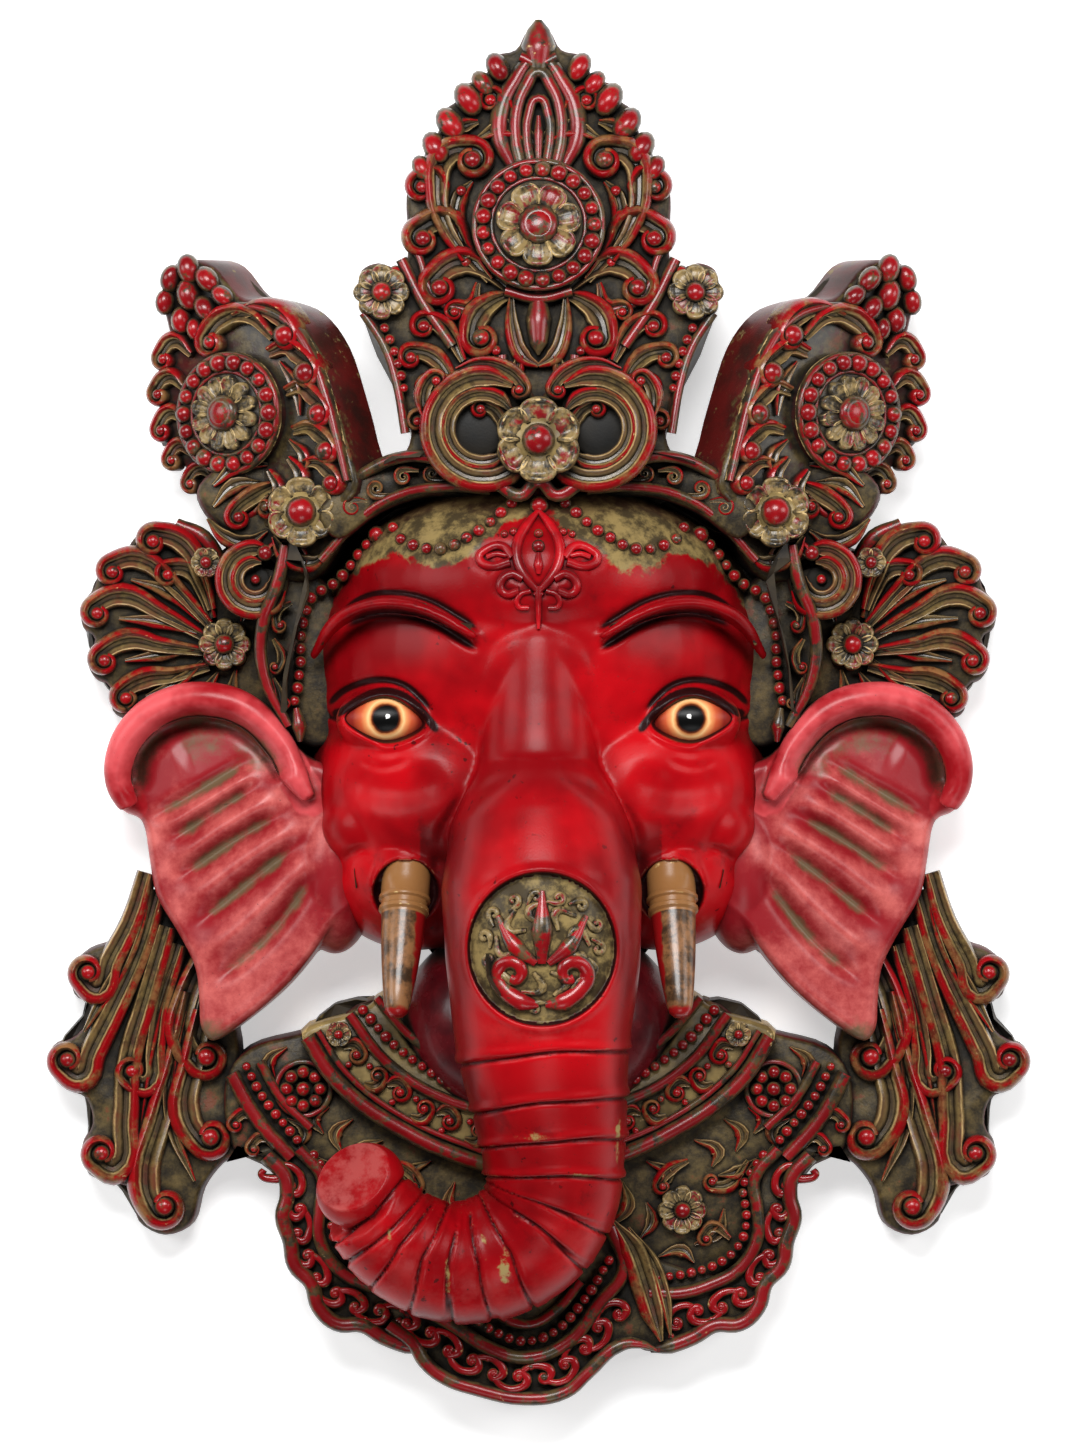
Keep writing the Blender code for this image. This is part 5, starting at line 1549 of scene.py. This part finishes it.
def tilak(head):
    """The raised mark on the brow: a long almond with petals beside it and a tail."""
    mark = Region("tilak", 0)
    mark.ridge_paint = MARK_PAINT
    for side in SIDES:
        mark.ridges.add(lie_on(head, mirrored([(0, 66), (3.6, 61.5), (7, 54.5), (6.6, 48.6), (3.4, 43), (-1.2, 38)],
                                              side), 1.4),
                        [0.8, 1.6, 1.8, 1.7, 1.4, 0.9])
        mark.ridges.add(lie_on(head, mirrored([(8.6, 50.5), (12, 54.2), (17.5, 52.8), (19.4, 50.4), (16, 47.6),
                                               (9.4, 49)], side), 1.4), 1.5)
        mark.ridges.add(lie_on(head, mirrored([(10.5, 51), (14, 51.6), (17, 50.6)], side), 1.2), 0.9)
        mark.ridges.add(lie_on(head, mirrored([(5.2, 43.5), (9, 45), (12.6, 41.5), (11, 38.6), (6.4, 39.5)], side),
                               1.4), 1.4)
        mark.ridges.add(lie_on(head, mirrored([(2.6, 39.4), (6.2, 38), (6.6, 34.4), (3.2, 33.8)], side), 1.1), 0.9)
        mark.bead(side * 8.2, 59, 1.4, on_head(head, side * 8.2, 59) + 0.6)
        mark.bead(side * 11.2, 58.2, 1.3, on_head(head, side * 11.2, 58.2) + 0.6)
    mark.ridges.add(lie_on(head, [(0, 41), (0, 36), (0, 31), (0, 27)], 1.3), [1.2, 1.1, 0.9, 0.5])
    mark.ridges.add(lie_on(head, [(0, 52), (0, 48), (0, 45)], 1.4), [0.8, 1.7, 0.7])
    mark.bead(0, 58.4, 1.5, on_head(head, 0, 58.4) + 0.8)
    mark.bead(0, 54.2, 2.2, on_head(head, 0, 54.2) + 0.8)
    mark.finish(False)


def medallion(head):
    """A lotus bud between two scrolls, over vines, in the trunk's round recess."""
    vines = Region("medallion_vines", 0)
    bold = Strokes("medallion_scroll", RIDGE)
    middle = MEDALLION
    for turn in range(0, 360, 24):
        angle = math.radians(turn)
        reach = 18.2 + 1.2 * math.sin(3 * angle)
        spot = (middle[0] + reach * math.cos(angle), middle[1] + reach * math.sin(angle))
        line, widths = curl([(spot[0] - 4 * math.sin(angle + 0.6), spot[1] + 4 * math.cos(angle + 0.6))], spot, 3.0,
                            1 if turn % 48 else -1, 1.25, 0.9)
        vines.ridges.add(lie_on(head, line, 0.9), widths)
    for turn in range(10, 360, 40):
        angle = math.radians(turn)
        start = (middle[0] + 8 * math.cos(angle), middle[1] + 8 * math.sin(angle))
        bend = (middle[0] + 13 * math.cos(angle + 0.35), middle[1] + 13 * math.sin(angle + 0.35))
        end = (middle[0] + 15.5 * math.cos(angle - 0.1), middle[1] + 15.5 * math.sin(angle - 0.1))
        vines.ridges.add(lie_on(head, [start, bend, end], 0.8), [0.7, 1.6, 0.7])
    ground = vines.ridges.mesh(PETAL_PAINT)
    ground.name = "medallion_vines"
    settle(ground)
    for side in SIDES:
        line, widths = curl([(middle[0] + side * 1, -95.4), (middle[0] + side * 6.5, -94.4)],
                            (middle[0] + side * 9.6, -85.4), 8.6, side, 3.2, 0.95)
        bold.add(lie_on(head, line, 0.9), widths)
        bold.add(lie_on(head, [(middle[0] + side * 2, -82), (middle[0] + side * 8.6, -76.4),
                               (middle[0] + side * 14.4, -66.6)], 0.9), [1.4, 3.2, 1.0])
    bold.add(lie_on(head, [(middle[0], -82), (middle[0], -71), (middle[0], -58.4)], 0.7), [1.8, 4.0, 1.0])
    item = bold.mesh(BEAD_PAINT)
    item.name = "medallion_scroll"
    settle(item)


# Hair, collar and shawl

def hair():
    """Waving locks behind each ear, ending in curls."""
    lock = Region("hair", HAIR_TOP + 3.5)
    outline = [(106, -60), (130, -61), (141, -75), (151, -79.5), (157, -86), (156, -95), (150, -100), (155, -108),
               (163.5, -112.5), (164, -121), (159, -127), (152, -130), (150, -138), (153.6, -146), (151, -155.5),
               (142, -158.5), (136.5, -161), (134.5, -171), (125, -176), (115.5, -171.5), (112, -160), (106, -152),
               (100, -148), (99.5, -138), (103, -130), (100, -122), (99.5, -110), (104, -90)]
    lock.plates.append(plate("hair_ground", outline, 1, HAIR_TOP, 0.8, 1.6))
    lock.curls([
        ([(131, -54), (136, -70), (143, -84), (147, -93.5)], (150.6, -87.2), 7.2, 1),
        ([(127, -60), (133, -80), (141, -98), (149, -114), (153, -122.5)], (157.4, -116.4), 7.4, 1),
        ([(120, -78), (126, -98), (128, -112), (130.4, -125)], (135.8, -120.2), 6.4, 1),
        ([(124, -72), (131, -96), (137, -118), (138, -136), (141, -153)], (146, -147.6), 7.6, 1),
        ([(116, -94), (121, -116), (127, -136), (132, -157)], (125, -165.4), 8.8, -1),
        ([(112, -100), (116, -118), (118.6, -134)], (109.6, -142.2), 8.6, -1),
        ([(112, -82), (118, -96), (120, -107)], (111, -115.4), 8.8, -1)], 3.4, 1.1, 0.8)
    for line in ([(129, -57), (136, -78), (145, -95), (152, -107)], [(122, -84), (129, -106), (133, -128), (134, -148)],
                 [(118, -100), (123, -120), (122, -140), (115, -157)]):
        lock.scroll(line, [1.2, 1.9, 1.9, 1.2], -0.8)
    lock.finish()


def collar():
    """Neck, the ridged collar and its ornaments."""
    item = melt("neck", [ball((0, -104, 14), (47, 36, 36))], 2, cut_below=4, grain=1.6)
    item.data.shade_smooth()
    settle(give(item, NECK_PAINT))
    band = Region("collar", COLLAR_TOP + 1.5, BRONZE_PAINT)
    outline = [(50, -94), (60, -99), (80, -107), (68, -126), (47, -142), (20, -154), (0, -158), (0, -128), (26, -124),
               (42, -111)]
    band.plates.append(plate("collar_ground", outline, 1, COLLAR_TOP, 1.0, 1.6))
    band.row([(58.5, -99.5), (46.5, -112.5), (27, -125.5), (14, -129)], 1.9, 3.9, 0)
    band.ridge([(54, -95.5), (43, -108), (24, -121.5)], 1.2, 0.6)
    band.ridge([(63, -101), (50.5, -117), (29, -130), (10, -134)], 1.5, 0.6)
    band.ridge([(77, -108.5), (67.5, -123), (46.5, -138.8), (18, -151), (0, -155)], 2.1, 0.8)
    band.ridge([(73.5, -106.5), (64, -120.5), (44.5, -135.5), (18, -147)], 0.9, 0.3)
    band.blossom((66.6, -107.6), 4.4, 6, 0.4, 0.2)
    for x, y, radius, hand in ((60.5, -114.5, 3.6, 1), (53.5, -121.5, 3.4, -1), (46, -127, 3.8, 1),
                               (38, -132.4, 3.4, -1),
                               (29.5, -136.5, 3.8, 1), (20, -140, 3.4, -1)):
        band.curl([(x + 4.6, y + 2.6 * hand), (x + 1, y + 3.6 * hand)], (x, y), radius + 0.5, hand, 1.7, 1.1)
        band.bead(x + 2.8, y - 3.2 * hand, 1.3, 0)
    band.finish()
    chest = Region("chest", SHAWL_TOP + 2)
    outline = [(48, -98), (70, -104), (80, -107), (97, -112), (105.5, -124), (103, -146), (88, -156), (60, -190),
               (0, -198), (0, -150)]
    chest.plates.append(plate("shawl_ground", outline, 1, SHAWL_TOP, 0.8, 1.6))
    chest.ball_flower((78.5, -126), 5.6, 8, 0.5)
    chest.ring((78.5, -126), 9.0, 0.8, lift=0)
    chest.ridge([(102.5, -121), (94, -136), (82.5, -149)], 2.0, 1.2)
    chest.ridge([(93, -117), (86, -129), (76, -139)], 1.3, 0.8)
    chest.row([(97.5, -118.5), (91.5, -129.5), (80.5, -143)], 1.8, 3.9, 0.6)
    for line in ([(84, -112), (90, -117), (88, -123)], [(70, -132), (75, -136), (72, -141)],
                 [(62, -136), (68, -141), (66, -147)],
                 [(52, -143), (60, -147), (58, -152)], [(84, -136), (78, -140), (80, -146)],
                 [(36, -150), (43, -155), (38, -160)],
                 [(60, -155), (66, -154), (74, -149)], [(28, -157), (30, -165), (24, -172)],
                 [(34, -176), (38, -170), (36, -164)],
                 [(62, -166), (60, -174), (52, -178)], [(40, -182), (48, -180), (52, -184)]):
        chest.scroll(line, [0.8, 1.9, 0.9], -0.6)
    chest.curls([([(50, -150), (44, -153)], (41.5, -158.5), 3.8, 1), ([(70, -150), (64, -158)], (58, -157), 3.8, -1),
                 ([(92, -140), (97, -134)], (101, -138), 3.6, -1), ([(88, -146), (92, -142)], (95, -146), 3.4, -1),
                 ([(64, -176), (58, -172)], (56, -176), 3.4, 1)], 1.6, 0.95)
    chest.blossom((48, -166.5), 8.3, 8, 0.36, 0.8)
    chest.finish()


LOBE = [(101, -147), (93, -149.5), (87, -156), (86, -163), (87.5, -170), (85, -178), (83.5, -186), (78, -192),
        (75.5, -200), (69.5, -205.5), (61, -206), (54, -210), (46, -213), (39.5, -214.5)]
LOBE_INNER = [(80, -146), (72, -156), (73, -166), (73, -176), (67, -186), (58, -191), (48, -194), (37, -194)]


def shawl():
    """The shawl's lobes with scalloped borders, a running scroll and bead rows."""
    lobe = Region("shawl_lobe", SHAWL_TOP + 3.5)
    lobe.plates.append(plate("lobe_ground", LOBE + [(28, -196), (30, -180), (66, -186), (76, -146)], 1, SHAWL_TOP + 1.5,
                             0.8, 1.6))
    lobe.ridge([(x - 2.2, y + 1.2) for x, y in LOBE[1:]], [2.1] * 12 + [0.6], 0.8)
    lobe.ridge(LOBE_INNER, 1.7, 1.0)
    lobe.row([(75, -148), (68.5, -158), (69.4, -168), (68, -176), (62, -183), (52, -187), (40, -189)], 1.7, 3.7, 0.2)
    lobe.vine([(91, -151), (83.5, -156), (80.5, -164), (80, -173), (77.4, -182), (72.4, -190), (65.5, -196.5),
               (57, -199.4), (49, -202), (42, -205.6)])
    lobe.finish()
    bottom = Region("shawl_bottom", SHAWL_TOP + 5.5)
    outline = [(-52, -204), (-43, -209), (-40, -216), (-34, -220), (-30, -226), (-22, -227.5), (-14, -231),
               (-5, -231.4), (4, -231), (10, -229), (15, -226), (19, -220), (25, -216), (30, -212.5), (37, -214.5),
               (44, -212), (34, -184), (24, -172), (0, -176), (-44, -190)]
    bottom.plates.append(plate("bottom_lobe_ground", outline, 1, SHAWL_TOP + 3, 0.8, 1.6))
    bottom.ridge([(-50, -204.5), (-42, -210.5), (-38, -217), (-31, -222.5), (-21, -226), (-5, -229.2), (9, -227),
                  (16.5, -220.5), (27, -211.5), (34, -211), (39.5, -213)], [1.8] * 9 + [1.2, 0.5], 0.8)
    bottom.ridge([(-40, -198), (-28, -205), (-16, -212.5), (-4.5, -215.5), (9.5, -210.5), (20.5, -197), (28.5, -186),
                  (24, -172)], 1.8, 1.2)
    bottom.row([(-26, -199), (-15, -206.6), (-4.5, -210), (6.5, -206), (16.5, -194.5), (23.5, -183)], 1.8, 3.9, 0.4)
    bottom.ridge([(-20, -196), (-5, -204.5), (5, -200.5), (14, -190)], 1.4, 0.2)
    bottom.vine([(-47, -202), (-38, -206.6), (-28, -213.6), (-17, -219.6), (-5, -222.4), (7, -219.6), (16, -211),
                 (24, -201.6), (31, -200)])
    bottom.scroll([(25, -170), (31, -179), (35, -190), (38, -200), (41, -210)], [1.6, 3.2, 3.4, 3.0, 1.6], 1.5)
    bottom.scroll([(30, -172), (38, -184), (42, -196), (44, -208)], [1.0, 1.8, 1.8, 1.0], 0.4)
    bottom.finish(False)


# Camera, floor and light

CAMERA_HEIGHT = 3.0        # metres above the carving's middle height
PICTURE_HEIGHT = 482.7     # units that the photograph spans from edge to edge
FILM_WIDTH = 36
PICTURE_MIDDLE = (1.5, -4.2, 30)
LAMPS = (("key", (-0.12, 0.85, 1.6), (1.1, 0.6), 35), ("front", (0.1, -1.1, 1.2), (0.8, 0.6), 4),
         ("left", (-1.25, 0.35, 0.95), (0.7, 0.9), 9), ("right", (1.25, 0.35, 0.95), (0.7, 0.9), 9))
WORLD_LIGHT = 0.06
FLOOR_GLOW = 0.5


def studio():
    """A straight view from above with a long lens, a white floor and large soft lamps."""
    data = bpy.data.cameras.new("camera")
    data.lens = FILM_WIDTH * CAMERA_HEIGHT / (PICTURE_HEIGHT * UNIT)
    data.clip_end = 20
    data.dof.use_dof = False
    camera = link("camera", data)
    camera.location = Vector(PICTURE_MIDDLE) * UNIT + Vector((0, 0, CAMERA_HEIGHT))
    bpy.context.scene.camera = camera
    deselect()
    bpy.ops.mesh.primitive_plane_add(size=8, location=(0, 0, -0.0003))
    floor = bpy.context.view_layer.objects.active
    floor.name = "floor"
    material = bpy.data.materials.new("white_floor")
    material.use_nodes = True
    shader = material.node_tree.nodes["Principled BSDF"]
    shader.inputs["Base Color"].default_value = (0.9, 0.9, 0.9, 1)
    shader.inputs["Roughness"].default_value = 0.9
    shader.inputs["Emission Color"].default_value = (1, 1, 1, 1)
    shader.inputs["Emission Strength"].default_value = FLOOR_GLOW
    floor.data.materials.append(material)
    world = bpy.data.worlds.new("studio")
    world.use_nodes = True
    world.node_tree.nodes["Background"].inputs["Color"].default_value = (1, 1, 1, 1)
    world.node_tree.nodes["Background"].inputs["Strength"].default_value = WORLD_LIGHT
    bpy.context.scene.world = world
    for name, place, size, power in LAMPS:
        light = bpy.data.lights.new(name, "AREA")
        light.shape = "ELLIPSE"
        light.size, light.size_y = size
        light.energy = power
        lamp = link(name, light)
        lamp.location = place
        lamp.rotation_euler = (Vector((0, 0, 0.04)) - Vector(place)).to_track_quat("-Z", "Y").to_euler()
    bpy.context.scene.view_settings.view_transform = "Standard"


def main():
    studio()
    core()
    head = face_and_trunk()
    eyes()
    tusks()
    ears()
    crown_leaf()
    crown_base()
    side_leaves()
    fans()
    swags(head)
    tilak(head)
    medallion(head)
    hair()
    collar()
    shawl()
    for spare in (SCROLL, RIDGE, BEAD, PETAL):
        bpy.data.objects.remove(spare)


main()
